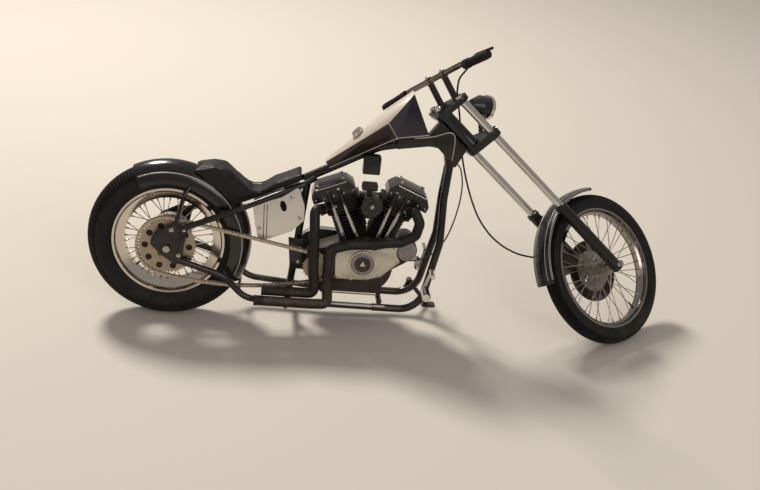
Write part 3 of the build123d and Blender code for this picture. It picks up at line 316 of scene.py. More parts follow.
finish("oil_tank_alloy", (0.74, 0.69, 0.62), (0.76, 0.71, 0.64), 0.30, 0.6, dust=0.15, spread=0.12,
       scale=14.0)
finish("iron_fins", (0.008, 0.007, 0.006), (0.018, 0.014, 0.012), 0.5, 0.2, wear=(0.12, 0.10, 0.08),
       dust=0.35, bump=0.3, scale=60.0)
finish("generator_steel", (0.028, 0.024, 0.023), (0.05, 0.043, 0.04), 0.38, 0.6, wear=RUBBED_PAINT, bump=0.1)
finish("generator_cap", (0.24, 0.21, 0.20), (0.32, 0.28, 0.27), 0.42, 0.5, wear=RUBBED_PAINT, bump=0.1)
finish("steel_parts", (0.42, 0.38, 0.34), (0.52, 0.48, 0.43), 0.26, 1.0, wear=(0.8, 0.76, 0.7), dust=0.4,
       bump=0.08, name="machined_steel")
finish("sprocket_steel", (0.34, 0.27, 0.19), (0.46, 0.38, 0.28), 0.38, 0.9, wear=(0.6, 0.5, 0.4), dust=0.5,
       bump=0.12)
finish("disc_steel", (0.34, 0.31, 0.29), (0.44, 0.40, 0.37), 0.28, 0.95, wear=RUBBED_PAINT, bump=0.1,
       scale=90.0, dark_ring=(*FRONT_HUB_LINE, 94, 150))
finish("chain_steel", (0.42, 0.34, 0.26), (0.56, 0.47, 0.37), 0.36, 0.85, dust=0.4, bump=0.1)
finish("tyre_rubber", (0.0055, 0.005, 0.005), (0.010, 0.0085, 0.008), 0.66, dust=0.12, dust_height=0.2, bump=0.2,
       scale=50.0)
finish("seat_leather", (0.007, 0.0055, 0.0055), (0.012, 0.009, 0.009), 0.50, dust=0.14, bump=0.55, leather=True)
finish("seat_thread", (0.030, 0.026, 0.024), (0.045, 0.038, 0.035), 0.7, dust=0.1, bump=0.3)
finish("grip_rubber", (0.007, 0.006, 0.006), (0.012, 0.010, 0.010), 0.6, dust=0.25, bump=0.2)
finish("cable_rubber", (0.009, 0.007, 0.007), (0.014, 0.011, 0.011), 0.5, dust=0.2)
finish("soot", (0.003, 0.0028, 0.0025), (0.006, 0.005, 0.005), 0.9, dust=0.0, bump=0.1)
# The rear rim's dark ring at 224 to 231 mm is a painted dark reflection along the rim's inner step
finish("rear_rim_chrome", (0.62, 0.56, 0.49), (0.70, 0.64, 0.56), 0.12, 1.0, spread=0.06, dust=0.35,
       bump=0.03, dark_ring=(*REAR_HUB_LINE, 224, 231))
# The front rim's chrome is darker than the rear's as painted shade: chrome that mirrors dark surroundings
finish("front_rim_shaded_chrome", (0.30, 0.27, 0.24), (0.40, 0.36, 0.32), 0.12, 1.0, spread=0.06, bump=0.03,
       dark_ring=(*FRONT_HUB_LINE, 260, 267))
finishes["tank_paint"] = finishes["tank_umber"]

# The handlebar takes dark nickel as painted shade: a backlit chrome bar that reads dark
own_surface = {"rear_rim": "rear_rim_chrome", "front_rim": "front_rim_shaded_chrome",
               "rear_sprocket": "sprocket_steel", "front_sprocket": "sprocket_steel", "brake_disc": "disc_steel",
               "handlebar": "dark_nickel", "rear_axle": "steel_parts", "headlight": "rocker_black",
               "side_stand": "frame_paint"}
slot_of = {part["node"]: part["material_slot"] for part in frame["record"]["subparts"]}
body_of = {node: body for body, group in frame["record"]["behaviour"]["bodies"].items() for node in group}
for node_name, slot in slot_of.items():
    node = nodes[node_name]
    node.data.materials.clear()
    node.data.materials.append(finishes[own_surface.get(node_name, slot)])


# Modelling by hand: small helpers around the edit mode operators


def only(*chosen):
    """Selects just these pieces, the first one active."""
    bpy.ops.object.select_all(action="DESELECT")
    for piece in chosen:
        piece.select_set(True)
    bpy.context.view_layer.objects.active = chosen[0]


def edit(piece, mode="FACE"):
    """Opens a piece in edit mode with nothing selected and gives its working mesh."""
    only(piece)
    bpy.ops.object.mode_set(mode="EDIT")
    bpy.ops.mesh.select_mode(type=mode)
    bpy.ops.mesh.select_all(action="DESELECT")
    return bmesh.from_edit_mesh(piece.data)


def leave_edit():
    bpy.ops.object.mode_set(mode="OBJECT")


def pick_faces(piece, wanted):
    """Selects the faces that pass a test of their middle and normal."""
    mesh = bmesh.from_edit_mesh(piece.data)
    for face in mesh.faces:
        face.select_set(bool(wanted(face.calc_center_median(), face.normal)))
    bmesh.update_edit_mesh(piece.data)


def outward_faces():
    """Turns every face of the piece in edit mode outward and closes edit mode."""
    bpy.ops.mesh.select_all(action="SELECT")
    bpy.ops.mesh.normals_make_consistent(inside=False)
    leave_edit()


def apply_modifiers(piece):
    only(piece)
    for modifier in list(piece.modifiers):
        bpy.ops.object.modifier_apply(modifier=modifier.name)


def bevelled(piece, width, segments=2, angle=30):
    """Rounds the edges that turn more than an angle."""
    modifier = piece.modifiers.new("round_edges", "BEVEL")
    modifier.width = width * MM
    modifier.segments = segments
    modifier.limit_method = "ANGLE"
    modifier.angle_limit = math.radians(angle)
    modifier.use_clamp_overlap = True
    apply_modifiers(piece)


def facing(base, x, y, z, direction=(0, -1, 0), roll=0):
    """The pose of a part that stands on its base at a point, its top towards a direction."""
    turn = Vector(direction).to_track_quat("Z", "Y").to_matrix().to_4x4()
    return base @ Matrix.Translation(Vector((x, y, z)) * MM) @ turn @ Matrix.Rotation(math.radians(roll), 4, "Z")


def along(base, start, end):
    """The pose of a part that starts at one point and runs towards another."""
    return facing(base, *start, direction=Vector(end) - Vector(start))


def laid_flat(middle, ahead, out):
    """The pose of a part that lies at a point in metres, its length ahead and its top outward."""
    turn = Matrix((ahead, out.cross(ahead).normalized(), out)).transposed().to_4x4()
    return BIKE @ Matrix.Translation(middle) @ turn


def done(piece, name, surface, body="frame", smooth=35, pose=None):
    """Names a finished piece, applies its place and gives it its surface and body."""
    if pose is not None:
        piece.data.transform(pose @ piece.matrix_basis)
        piece.matrix_basis = Matrix.Identity(4)
    only(piece)
    bpy.ops.object.transform_apply(location=True, rotation=True, scale=True)
    piece.name = name
    piece.data.name = name
    piece.data.materials.clear()
    piece.data.materials.append(finishes[surface])
    bpy.ops.object.shade_smooth_by_angle(angle=math.radians(smooth))
    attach(piece, body)
    return piece


def turned(radius, height, steps=(), sides=32):
    """A turned part: a disc whose top goes in by a width and up by a rise at each step."""
    bpy.ops.mesh.primitive_cylinder_add(vertices=sides, radius=radius * MM, depth=height * MM,
                                        location=(0, 0, height / 2 * MM))
    piece = bpy.context.object
    bpy.ops.object.transform_apply(location=True)
    edit(piece)
    pick_faces(piece, lambda middle, normal: normal.z > 0.9)
    for width, rise in steps:
        if width == 0:
            bpy.ops.mesh.extrude_region_move(TRANSFORM_OT_translate={"value": (0, 0, rise * MM)})
        else:
            bpy.ops.mesh.inset(thickness=width * MM, depth=rise * MM)
    leave_edit()
    return piece


def turned_piece(name, radius, height, steps, sides, pose, surface, body="frame", smooth=35):
    """A turned part that is a piece of its own."""
    return done(turned(radius, height, steps, sides), name, surface, body, smooth, pose)


def copies(master, poses, name, surface, body="frame"):
    """Copies a modelled part to each pose, each copy with its own mesh, and joins them into one piece."""
    made = []
    for pose in poses:
        copy = master.copy()
        copy.data = master.data.copy()
        copy.data.transform(pose)
        scene.collection.objects.link(copy)
        made.append(copy)
    bpy.data.objects.remove(master)
    only(*made)
    if len(made) > 1:
        bpy.ops.object.join()
    return done(made[0], name, surface, body)


def line_piece(name, base, points, radius, surface, body="frame", sides=2, smooth=60, curved=True):
    """A round line through points, as a mesh."""
    curve = bpy.data.curves.new("line", "CURVE")
    curve.dimensions = "3D"
    curve.bevel_depth = radius * MM
    curve.bevel_resolution = sides
    curve.use_fill_caps = True
    spline = curve.splines.new("NURBS" if curved else "POLY")
    spline.points.add(len(points) - 1)
    for spot, point in zip(spline.points, points):
        spot.co = (*place(base, *point), 1)
    if curved:
        spline.order_u = 3
        spline.use_endpoint_u = True
        spline.resolution_u = 8
    piece = bpy.data.objects.new("line", curve)
    scene.collection.objects.link(piece)
    only(piece)
    bpy.ops.object.convert(target="MESH")
    return done(bpy.context.object, name, surface, body, smooth)


def merged_copy(node_name):
    """A copy of a CAD node's mesh with its triangles joined into whole faces."""
    piece = bpy.data.objects.new(node_name + "_copy", nodes[node_name].data.copy())
    scene.collection.objects.link(piece)
    edit(piece, "VERT")
    bpy.ops.mesh.select_all(action="SELECT")
    bpy.ops.mesh.remove_doubles(threshold=0.00002)
    bpy.ops.mesh.dissolve_limited(angle_limit=math.radians(0.6))
    leave_edit()
    return piece


TO_BIKE = BIKE.inverted()
LEFT = (0, 1, 0)
UP = (0, 0, 1)
SIDES = ((-1, "right"), (1, "left"))

# Castings and plates with the rounded edges of the real ones

rounded_table = (
    ("frame_neck", "neck_moulding", 5.0, "frame_paint", 3),
    # The rocker covers take the black finish as painted dark reflection: chrome that reads near-black from this side
    ("rear_rocker_box", "rear_rocker_cover", 4.0, "rocker_black", 3),
    ("front_rocker_box", "front_rocker_cover", 4.0, "rocker_black", 3),
    ("cam_cover", "cam_chest_cover", 2.5, "cover_polish", 2),
    ("crankcase", "engine_cases", 5.0, "case_dark", 3),
    ("primary_cover", "primary_case", 2.0, "cast_alloy", 2),
    ("carburettor", "carburettor_body", 2.0, "carb_dark", 2),
    ("coil_box", "coil_case", 2.0, "frame_paint", 2),
    ("axle_plates", "axle_plate_pair", 1.6, "frame_paint", 2),
    ("lower_clamp", "lower_clamp_casting", 4.0, "black_cast", 3),
    ("upper_clamp", "upper_clamp_casting", 3.0, "black_cast", 3),
    ("brake_caliper", "caliper_casting", 3.0, "black_cast", 3),
    ("oil_tank", "oil_tank_shell", 5.0, "oil_tank_alloy", 3),
    ("stand_bracket", "stand_lug", 1.5, "frame_paint", 2),
    ("generator", "generator_body", 1.5, "generator_steel", 2),
)
for node_name, name, width, surface, segments in rounded_table:
    piece = merged_copy(node_name)
    bevelled(piece, width, segments, 28)
    done(piece, name, surface, body_of[node_name], smooth=40)
    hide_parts(node_name)

# The primary case is dark inboard of its alloy cover
PRIMARY_JOINT = 86
primary = bpy.data.objects["primary_case"]
primary.data.materials.append(finishes["case_dark"])
for face in primary.data.polygons:
    if (TO_BIKE @ face.center).y < PRIMARY_JOINT * MM:
        face.material_index = 1

# Fuel tank: umber and navy side panels, black underneath, silver lines on the folds, and pale cream on the upward
# facets as a painted sunlit sheen of the top
NAVY, SUNLIT_TOP, BLACK = 1, 2, 3
tank = merged_copy("gas_tank")
bevelled(tank, 5.0, 2, 14)
done(tank, "fuel_tank", "tank_umber", smooth=40)
for surface in ("tank_navy", "tank_sunlit_cream", "frame_paint"):
    tank.data.materials.append(finishes[surface])
for face in tank.data.polygons:
    middle = TO_BIKE @ face.center / MM
    normal = (TO_BIKE.to_3x3() @ face.normal).normalized()
    in_tunnel = middle.z < 885 and abs(middle.y) < 16 and middle.x > 900
    if in_tunnel or normal.z < -0.75:
        face.material_index = BLACK
    # Upward facets get pale cream: painted sunlight and sky reflection on the tank's top
    elif normal.z > 0.42:
        face.material_index = SUNLIT_TOP
    elif middle.x > 905:
        face.material_index = NAVY
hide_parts("gas_tank")

for side, label in SIDES:
    corner = (931, side * 60.4, 892.6)
    line_piece(f"tank_fold_line_{label}", BIKE, [(884, side * 109.5, 965.5), corner], 3.0, "stripe_silver",
               curved=False)
    line_piece(f"tank_base_line_{label}", BIKE, [(662, side * 24.4, 729.5), corner, (1069, side * 36.6, 909.6)], 2.6,
               "stripe_silver", curved=False)
turned_piece("fuel_filler_cap", 27, 5, ((2, 1), (0, 7), (3, 2.5), (12, 1)), 40,
             facing(BIKE, 770, 0, 884, (-0.72, 0, 0.70)), "chrome_parts")

# Silver lines laid on the neck and along the foot of the engine cases, and pale lines on the lower rails that are
# painted highlights of the sun along the rail tops
neck_line = ((1010, 889), (1083, 898), (1130, 918), (1152, 926), (1172, 925), (1181, 910), (1184, 886), (1183, 830),
             (1179, 780))
rail_highlight_path = ((690, 3.5), (715, 5), (800, 5), (880, 5), (899, 6), (912, 6.8), (950, 6.8), (985, 4.5))
for side, label in SIDES:
    line_piece(f"neck_stripe_{label}", BIKE, [(x, side * 26.4, z) for x, z in neck_line], 2.6, "stripe_silver",
               smooth=35)
    # Pale lines on the lower rails' tops: painted highlights standing for the sun's glint on the glossy black tubes
    line_piece(f"rail_painted_highlight_{label}", BIKE, [(x, side * (95 + rise), 125 + rise) for x, rise in rail_highlight_path], 8,
               "rail_highlight_silver", sides=6, smooth=35)
line_piece("case_base_edge", BIKE, [(x, -57.5, 172) for x in (684, 740, 800, 860, 916)], 6, "cover_polish",
           sides=4, smooth=35)


# Tyres with blocks cut by grooves

def tread_tyre(name, node_name, base, outer, section, flange, rim_half, columns, block_rows, twist):
    """A tyre with a domed casing, sidewall ribs and blocks standing between grooves."""
    rows = 48
    groove_edge, groove_depth = 1.5 * MM, 4.2 * MM
    rib_reach = 3.5 * MM
    middle = (outer - section) * MM
    bpy.ops.mesh.primitive_torus_add(major_radius=middle, minor_radius=section * MM, major_segments=columns,
                                     minor_segments=rows)
    piece = bpy.context.object
    mesh = edit(piece, "VERT")
    crown_edge = math.sin(math.radians(360 / rows * (block_rows / 2 + 0.5))) * section * MM
    grid = len(mesh.verts)
    for vertex in mesh.verts:
        radius = math.hypot(vertex.co.x, vertex.co.y)
        turn = math.atan2(vertex.co.y, vertex.co.x)
        height = vertex.co.z
        if radius < middle:
            share = min(1, (middle - radius) / (middle - flange * MM))
            limit = (section - (section - rim_half + 1) * share ** 1.6) * MM
            if radius < flange * MM:
                radius = max(radius, (flange - 8) * MM)
                limit = (rim_half - 4.2) * MM
            height = math.copysign(min(abs(height), limit), height)
        elif abs(height) < crown_edge:
            row = round(math.degrees(math.asin(max(-1, min(1, height / (section * MM))))) / (360 / rows))
            turn += twist * (2 * math.pi / columns) * (1 if row % 2 else -1)
        for rib_radius, rib_height in ((middle + section * 0.28 * MM, 0.9), (middle - section * 0.2 * MM, 0.7)):
            if abs(radius - rib_radius) < rib_reach and abs(height) > section * 0.6 * MM:
                height += math.copysign(rib_height * MM, height)
        vertex.co = (radius * math.cos(turn), radius * math.sin(turn), height)
    bmesh.update_edit_mesh(piece.data)
    bpy.ops.mesh.select_mode(type="FACE")
    pick_faces(piece, lambda centre, normal: math.hypot(centre.x, centre.y) > middle and abs(centre.z) < crown_edge)
    bpy.ops.mesh.inset(thickness=groove_edge, depth=0, use_individual=True)
    mesh = bmesh.from_edit_mesh(piece.data)
    mesh.verts.ensure_lookup_table()
    for vertex in mesh.verts[:grid]:
        radius = math.hypot(vertex.co.x, vertex.co.y)
        if radius > middle and abs(vertex.co.z) < crown_edge:
            centre = Vector((vertex.co.x / radius, vertex.co.y / radius, 0)) * middle
            vertex.co -= (vertex.co - centre).normalized() * groove_depth
    bmesh.update_edit_mesh(piece.data)
    outward_faces()
    done(piece, name, "tyre_rubber", body_of[node_name], smooth=32, pose=facing(base, 0, 0, 0))
    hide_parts(node_name)


tread_tyre("rear_tyre_tread", "rear_tyre", REAR_WHEEL, REAR_RADIUS, 65, 240, 46, 132, 15, 0.22)
tread_tyre("front_tyre_tread", "front_tyre", FRONT_WHEEL, FRONT_RADIUS, 44, 276, 29, 150, 13, 0.30)

# Spoke nipples and valve stems
SPOKES = 40
SPOKE_SWEEP = math.radians(18 * 2.2)


def spoke_rim_poses(base, hub_radius, hub_half, rim_radius):
    """Where each spoke meets the rim, pointing back along the spoke."""
    poses = []
    for index in range(SPOKES):
        side = 1 if index % 2 else -1
        rim_angle = math.radians(360 / SPOKES * index)
        hub_angle = rim_angle + SPOKE_SWEEP * (1 if (index // 2) % 2 else -1)
        hub_end = (hub_radius * math.cos(hub_angle), side * hub_half, hub_radius * math.sin(hub_angle))
        rim_end = (rim_radius * math.cos(rim_angle), side * 5, rim_radius * math.sin(rim_angle))
        poses.append(along(base, rim_end, hub_end))
    return poses


for label, base, *reach in (("rear", REAR_WHEEL, 42, 59, 189.5), ("front", FRONT_WHEEL, 33, 39.5, 250.5)):
    nipple = turned(4.4, 4, ((0.8, 1), (0, 9), (1.0, 1.5)), sides=8)
    copies(nipple, spoke_rim_poses(base, *reach), f"{label}_spoke_nipples", "steel_parts", body=f"{label}_wheel")
for label, base, x, z, ahead in (("rear", REAR_WHEEL, -133, -133, 1), ("front", FRONT_WHEEL, 175, -178, -1)):
    turned_piece(f"{label}_valve_stem", 4, 16, ((0.6, 1), (0, 14), (0.5, 0.8)), 12,
                 facing(base, x, 0, z, (ahead, 0, 1)), "grip_rubber", body=f"{label}_wheel")

# Roller chain, link by link
CHAIN_PITCH = 15.875
REAR_TEETH, FRONT_TEETH = 51, 24
REAR_PITCH = CHAIN_PITCH / 2 / math.sin(math.pi / REAR_TEETH)
FRONT_PITCH = CHAIN_PITCH / 2 / math.sin(math.pi / FRONT_TEETH)
SPROCKET_X, SPROCKET_Z, CHAIN_Y, SLACK = 636, 296, -96, 1400


def chain_runs():
    """The chain's four runs: upper line, front arc, slack arc and rear arc, as (length, point at a share)."""
    span = math.hypot(SPROCKET_X, SPROCKET_Z - REAR_RADIUS)
    slope = math.atan2(SPROCKET_Z - REAR_RADIUS, SPROCKET_X)
    top = slope + math.acos((REAR_PITCH - FRONT_PITCH) / span)
    reach_rear, reach_front = SLACK - REAR_PITCH, SLACK - FRONT_PITCH
    share = (reach_rear ** 2 - reach_front ** 2 + span ** 2) / (2 * span)
    rise = math.sqrt(reach_rear ** 2 - share ** 2)
    ux, uz = SPROCKET_X / span, (SPROCKET_Z - REAR_RADIUS) / span
    centre = (share * ux - rise * uz, REAR_RADIUS + share * uz + rise * ux)
    rear_low = math.atan2(REAR_RADIUS - centre[1], -centre[0])
    front_low = math.atan2(SPROCKET_Z - centre[1], SPROCKET_X - centre[0])

    def arc(cx, cz, radius, first, last):
        return (abs(last - first) * radius,
                lambda part: (cx + radius * math.cos(first + (last - first) * part),
                              cz + radius * math.sin(first + (last - first) * part)))

    start = (REAR_PITCH * math.cos(top), REAR_RADIUS + REAR_PITCH * math.sin(top))
    stop = (SPROCKET_X + FRONT_PITCH * math.cos(top), SPROCKET_Z + FRONT_PITCH * math.sin(top))
    upper = (math.dist(start, stop), lambda part: (start[0] + (stop[0] - start[0]) * part,
                                                   start[1] + (stop[1] - start[1]) * part))
    return (upper, arc(SPROCKET_X, SPROCKET_Z, FRONT_PITCH, top, front_low),
            arc(*centre, SLACK, front_low, rear_low),
            arc(0, REAR_RADIUS, REAR_PITCH, rear_low, top - 2 * math.pi))


def chain_pins():
    """The places of the chain's pins, one pitch apart as near as a whole even number allows."""
    runs = chain_runs()
    whole = sum(length for length, spot in runs)
    links = 2 * round(whole / CHAIN_PITCH / 2)
    pins = []
    for index in range(links):
        left = whole * index / links
        for length, spot in runs:
            if left <= length:
                pins.append(spot(left / length))
                break
            left -= length
    return pins


plate = turned(7, 1.7, ((0.7, 0.4),), sides=14)
mesh = edit(plate, "VERT")
for vertex in mesh.verts:
    vertex.co.y *= 0.98
    if abs(vertex.co.x) > 1e-6:
        vertex.co.x += math.copysign(CHAIN_PITCH / 2 * MM, vertex.co.x)
    if abs(vertex.co.x) < 6 * MM:
        vertex.co.y *= 0.72
bmesh.update_edit_mesh(plate.data)
leave_edit()
roller = turned(4.6, 14, sides=10)
rivet = turned(2.6, 20.6, ((0.7, 0.4),), sides=8)
plate_poses, roller_poses, rivet_poses = [], [], []
pins = chain_pins()
for index, (x, z) in enumerate(pins):
    after_x, after_z = pins[(index + 1) % len(pins)]
    roller_poses.append(facing(BIKE, x, CHAIN_Y - 7, z, LEFT))
    rivet_poses.append(facing(BIKE, x, CHAIN_Y - 10.4, z, LEFT))
    ahead = Vector((after_x - x, 0, after_z - z)).normalized()
    for side in (-1, 1):
        depth = CHAIN_Y + side * (7.0 if index % 2 else 8.6)
        middle = Vector(((x + after_x) / 2, depth, (z + after_z) / 2)) * MM
        plate_poses.append(laid_flat(middle, ahead, Vector((0, side, 0))))
links = copies(plate, plate_poses, "chain_link_plates", "chain_steel")
copies(roller, roller_poses, "chain_rollers", "steel_parts")
copies(rivet, rivet_poses, "chain_rivets", "chain_steel")
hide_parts("drive_chain")

# Seat cushion: the seat swollen by air pressure in cloth, held to a few millimetres, then smoothed
PADDING = 5.5 * MM
PUFF_STEPS = 16
cushion = merged_copy("seat")
even = cushion.modifiers.new("even_mesh", "REMESH")
even.mode = "VOXEL"
even.voxel_size = 5.5 * MM
shrink = cushion.modifiers.new("slimmer", "DISPLACE")
shrink.strength = -4.5 * MM
shrink.mid_level = 0
apply_modifiers(cushion)
start = [vertex.co.copy() for vertex in cushion.data.vertices]
cloth = cushion.modifiers.new("padding", "CLOTH")
cloth.settings.use_pressure = True
cloth.settings.uniform_pressure_force = 4.0
cloth.settings.effector_weights.gravity = 0
cloth.settings.quality = 5
for step in range(1, PUFF_STEPS + 1):
    scene.frame_set(step)
apply_modifiers(cushion)
scene.frame_set(1)
for vertex, before in zip(cushion.data.vertices, start):
    move = vertex.co - before
    if move.length > PADDING:
        vertex.co = before + move * (PADDING / move.length)
smooth = cushion.modifiers.new("soft_skin", "SMOOTH")
smooth.factor = 0.6
smooth.iterations = 7
finer = cushion.modifiers.new("finer", "SUBSURF")
finer.levels = 1
finer.render_levels = 1
apply_modifiers(cushion)
done(cushion, "seat_cushion", "seat_leather", smooth=180)
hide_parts("seat")


def on_cushion(x, y, z):
    """The nearest point of the cushion and its outward direction, both in the bike's frame."""
    hit, spot, normal, face = cushion.closest_point_on_mesh(place(BIKE, x, y, z))
    return TO_BIKE @ spot / MM, (TO_BIKE.to_3x3() @ normal).normalized()


# Piping along the seat's edges, and stitches inboard of it
STITCH = 9
seam_profile = ((100, 740), (150, 742), (200, 724), (255, 686), (300, 640), (345, 612), (388, 618), (437, 650),
                (490, 680), (545, 706))
stitch_poses = []
for side, label in SIDES:
    seam = []
    for x, z in seam_profile:
        spot = on_cushion(x, side * 72, z)[0]
        seam.append((spot.x, spot.y - side * 1.2, spot.z))
    line_piece(f"seat_piping_{label}", BIKE, seam, 2.6, "seat_leather", sides=3)
    for (x, y, z), (after_x, after_y, after_z) in zip(seam, seam[1:]):
        count = math.dist((x, z), (after_x, after_z)) // STITCH
        for index in range(int(count)):
            share = (index + 0.5) / count
            spot, out = on_cushion(x + (after_x - x) * share, side * 56, z + (after_z - z) * share + 14)
            ahead = Vector((after_x - x, 0, after_z - z)).normalized()
            stitch_poses.append(laid_flat(spot * MM, ahead, out))
stitch = turned(2.6, 0.5, ((0.8, 0.4),), sides=8)
stitch.data.transform(Matrix.Diagonal((1, 0.34, 1, 1)))
copies(stitch, stitch_poses, "seat_stitches", "seat_thread")


# Engine: rows of X, Z are on the right-hand covers, which face -Y

def bolts(name, base, places, across=11, height=6, surface="steel_parts", body="frame"):
    """Hexagon bolts with washers; each place is x, y, z and, where it isn't the right, the way the head faces."""
    washer = turned(across * 0.68, 1.6, ((0.8, 0.5),), sides=20)
    head = turned(across / 2 / math.cos(math.pi / 6), height, ((across * 0.16, 0.9),), sides=6)
    only(washer, head)
    bpy.ops.object.join()
    poses = [facing(base, *spot, roll=23 * index) for index, spot in enumerate(places)]
    copies(bpy.context.object, poses, name, surface, body)


def round_places(x, y, z, radius, angles, *direction):
    """Places on a circle seen from the side, at these angles in degrees."""
    turns = [math.radians(angle) for angle in angles]
    return [(x + radius * math.cos(turn), y, z + radius * math.sin(turn), *direction) for turn in turns]


TIMER = (838, 335)
GENERATOR = (1026, 400)
AIR_CLEANER = (850, 606)
CRANK = (850, 300)
CLUTCH = (657, 300)


def at(centre, y, direction=(0, -1, 0)):
    """The pose of a part centred on one of the engine's axes."""
    return facing(BIKE, centre[0], y, centre[1], direction)


cover_bolts = ((732, 265), (723, 368), (779, 386), (838, 391), (894, 396), (968, 414), (986, 352), (912, 284),
               (858, 267), (795, 260))
bolts("cam_cover_bolts", BIKE, [(x, -112, z) for x, z in cover_bolts], across=10, height=5)

turned_piece("timer_ring", 52, 2, ((2, 1.5), (5, 0.6), (2, -0.6), (6, 0), (2, -2.2)), 64, at(TIMER, -120.6),
             "generator_cap")
turned_piece("timer_cover", 34, 3, ((1.5, 1), (4, 0.4), (1, -1.2)), 48, at(TIMER, -121.2), "rocker_black")
timer_plate = turned(17, 4, ((1.2, 1), (4, 0), (1, -1)), sides=3)
bevelled(timer_plate, 4, 3, 50)
done(timer_plate, "timer_plate", "cover_polish", pose=at(TIMER, -122.4))
bolts("timer_screws", BIKE, round_places(TIMER[0], -121.6, TIMER[1], 44, (30, 150, 270)), across=7, height=3)

turned_piece("generator_cap", 44, 4, ((2, 1.5), (0, 5), (3, 1.5), (8, 0), (1.5, -1.5), (14, 0), (1.5, 2)), 48,
             at(GENERATOR, -94), "generator_cap")
bolts("generator_bolts", BIKE, [(GENERATOR[0] + x, -104.5, GENERATOR[1] + z) for x, z in ((27, 20), (-27, -20))],
      across=7, height=4)

cover_steps = ((1.5, 1.5), (0, 3), (3, 1.2), (6, 0.4), (1.2, -1.6), (5, 0), (1.2, 1.6), (8, 1.5), (8, 1.0))
turned_piece("air_cleaner_cover", 45, 4, cover_steps, 64, at(AIR_CLEANER, -132), "rocker_black")
air_mesh = turned(42, 20, sides=72)
edit(air_mesh)
pick_faces(air_mesh, lambda middle, normal: abs(normal.z) < 0.1)
bpy.ops.mesh.inset(thickness=0.5 * MM, depth=-1.4 * MM, use_individual=True)
leave_edit()
done(air_mesh, "air_cleaner_mesh", "dark_nickel", pose=at(AIR_CLEANER, -112.5))
bolts("air_cleaner_bolt", BIKE, [(AIR_CLEANER[0], -143.6, AIR_CLEANER[1])], across=12, height=5)
turned_piece("float_bowl", 27, 20, ((2, 2), (0, 3), (4, 2), (14, 3)), 32, facing(BIKE, 850, -86, 566, (0, 0, -1)),
             "carb_dark")

# Pushrod tubes: collars and dark sleeves at shares of each tube's line; the upper sleeves darken the tubes' upper
# part as painted shade
PUSHRODS = ((766, 402, 662, 634), (825, 402, 704, 654), (877, 402, 957, 654), (909, 402, 1001, 629))
TUBE_Y, TUBE_LEAN = -92, 32
for name, radius, height, edge, length, shares, surface in (
        ("pushrod_collars", 11.8, 4, 1, 5, (0.22, 0.71), "dark_nickel"),
        ("pushrod_lower_sleeves", 10.6, 2, 0.8, 40, (0.04,), "rocker_black"),
        ("pushrod_upper_sleeves", 10.6, 2, 0.8, 64, (0.73,), "rocker_black")):
    poses = []
    for foot_x, foot_z, top_x, top_z in PUSHRODS:
        for share in shares:
            spot = (foot_x + (top_x - foot_x) * share, TUBE_Y + TUBE_LEAN * share, foot_z + (top_z - foot_z) * share)
            poses.append(facing(BIKE, *spot, direction=(top_x - foot_x, TUBE_LEAN, top_z - foot_z)))
    sleeve = turned(radius, height, ((edge, 1), (0, length), (edge, 1)), sides=24)
    copies(sleeve, poses, name, surface)

VEE = math.radians(22.5)


def on_cylinder(side, u, y, s):
    """A point of a cylinder's own frame in the bike's: side -1 is the rear cylinder."""
    return (CRANK[0] + u * math.cos(VEE) + side * s * math.sin(VEE), y,
            CRANK[1] - side * u * math.sin(VEE) + s * math.cos(VEE))


rocker_bolts, rocker_top_nuts = [], []
for side, label in ((-1, "rear"), (1, "front")):
    up = (side * math.sin(VEE), 0, math.cos(VEE))
    rocker_bolts += [(*on_cylinder(side, side * u, face * 62, 353), (0, face, 0))
                     for u in (-58, -16, 28, 72, 108) for face in (-1, 1)]
    rocker_top_nuts += [(*on_cylinder(side, side * u, y, 408), up) for u in (-30, 80) for y in (-40, 40)]
    # A pale strip along each rocker cover's top edge: a painted highlight of sun on the edge
    line_piece(f"rocker_highlight_line_{label}", BIKE, [on_cylinder(side, side * u, -61.5, 398) for u in (-44, 94)], 3.4,
               "cover_polish", curved=False)
bolts("rocker_side_bolts", BIKE, rocker_bolts, 9, 5, "dark_nickel")
bolts("rocker_top_nuts", BIKE, rocker_top_nuts, 13, 7, "chrome_parts")

# Spark plugs in the heads' outer faces
plug_poses = [facing(BIKE, *on_cylinder(side, side * 36, -66, 306), direction=(side * 0.45, -1, 0.35))
              for side in (-1, 1)]
plug = turned(9, 5, ((1, 0.6), (0, 5), (4, 0.2), (0, 16), (1.2, 1.2), (1.2, 0), (0, 5), (0.6, 0.6)), sides=12)
copies(plug, plug_poses, "spark_plugs", "steel_parts")

# Primary case on the left: bolts round its rim, the clutch's cap and an inspection cap
primary_bolts = (round_places(CLUTCH[0], 121, CLUTCH[1], 97, range(90, 271, 30), LEFT)
                 + round_places(CRANK[0], 121, CRANK[1], 89, (-90, -55, -20, 20, 55, 90), LEFT))
bolts("primary_bolts", BIKE, primary_bolts, across=10, height=5)
cap_steps = ((1.5, 1.5), (0, 3), (3, 1.5), (10, 0.5), (1.5, -1.5), (16, 0), (1.5, 1.5), (10, 1))
turned_piece("clutch_cap", 56, 3, cap_steps, 64, at(CLUTCH, 129, LEFT), "cover_polish")
turned_piece("primary_inspection_cap", 26, 3, ((1.5, 1.5), (0, 4), (3, 1.5), (8, 0), (1.2, -1)), 40,
             at(CRANK, 121, LEFT), "cover_polish")

# Base nuts of the barrels, without the pair hidden in the vee
base_nuts = [(*on_cylinder(side, u, y, 128), (side * math.sin(VEE), 0, math.cos(VEE)))
             for side in (-1, 1) for u in (-56, 56) for y in (-36, 36) if side * u > -40]
bolts("barrel_base_nuts", BIKE, base_nuts, across=14, height=9, surface="dark_nickel")


# Exhausts

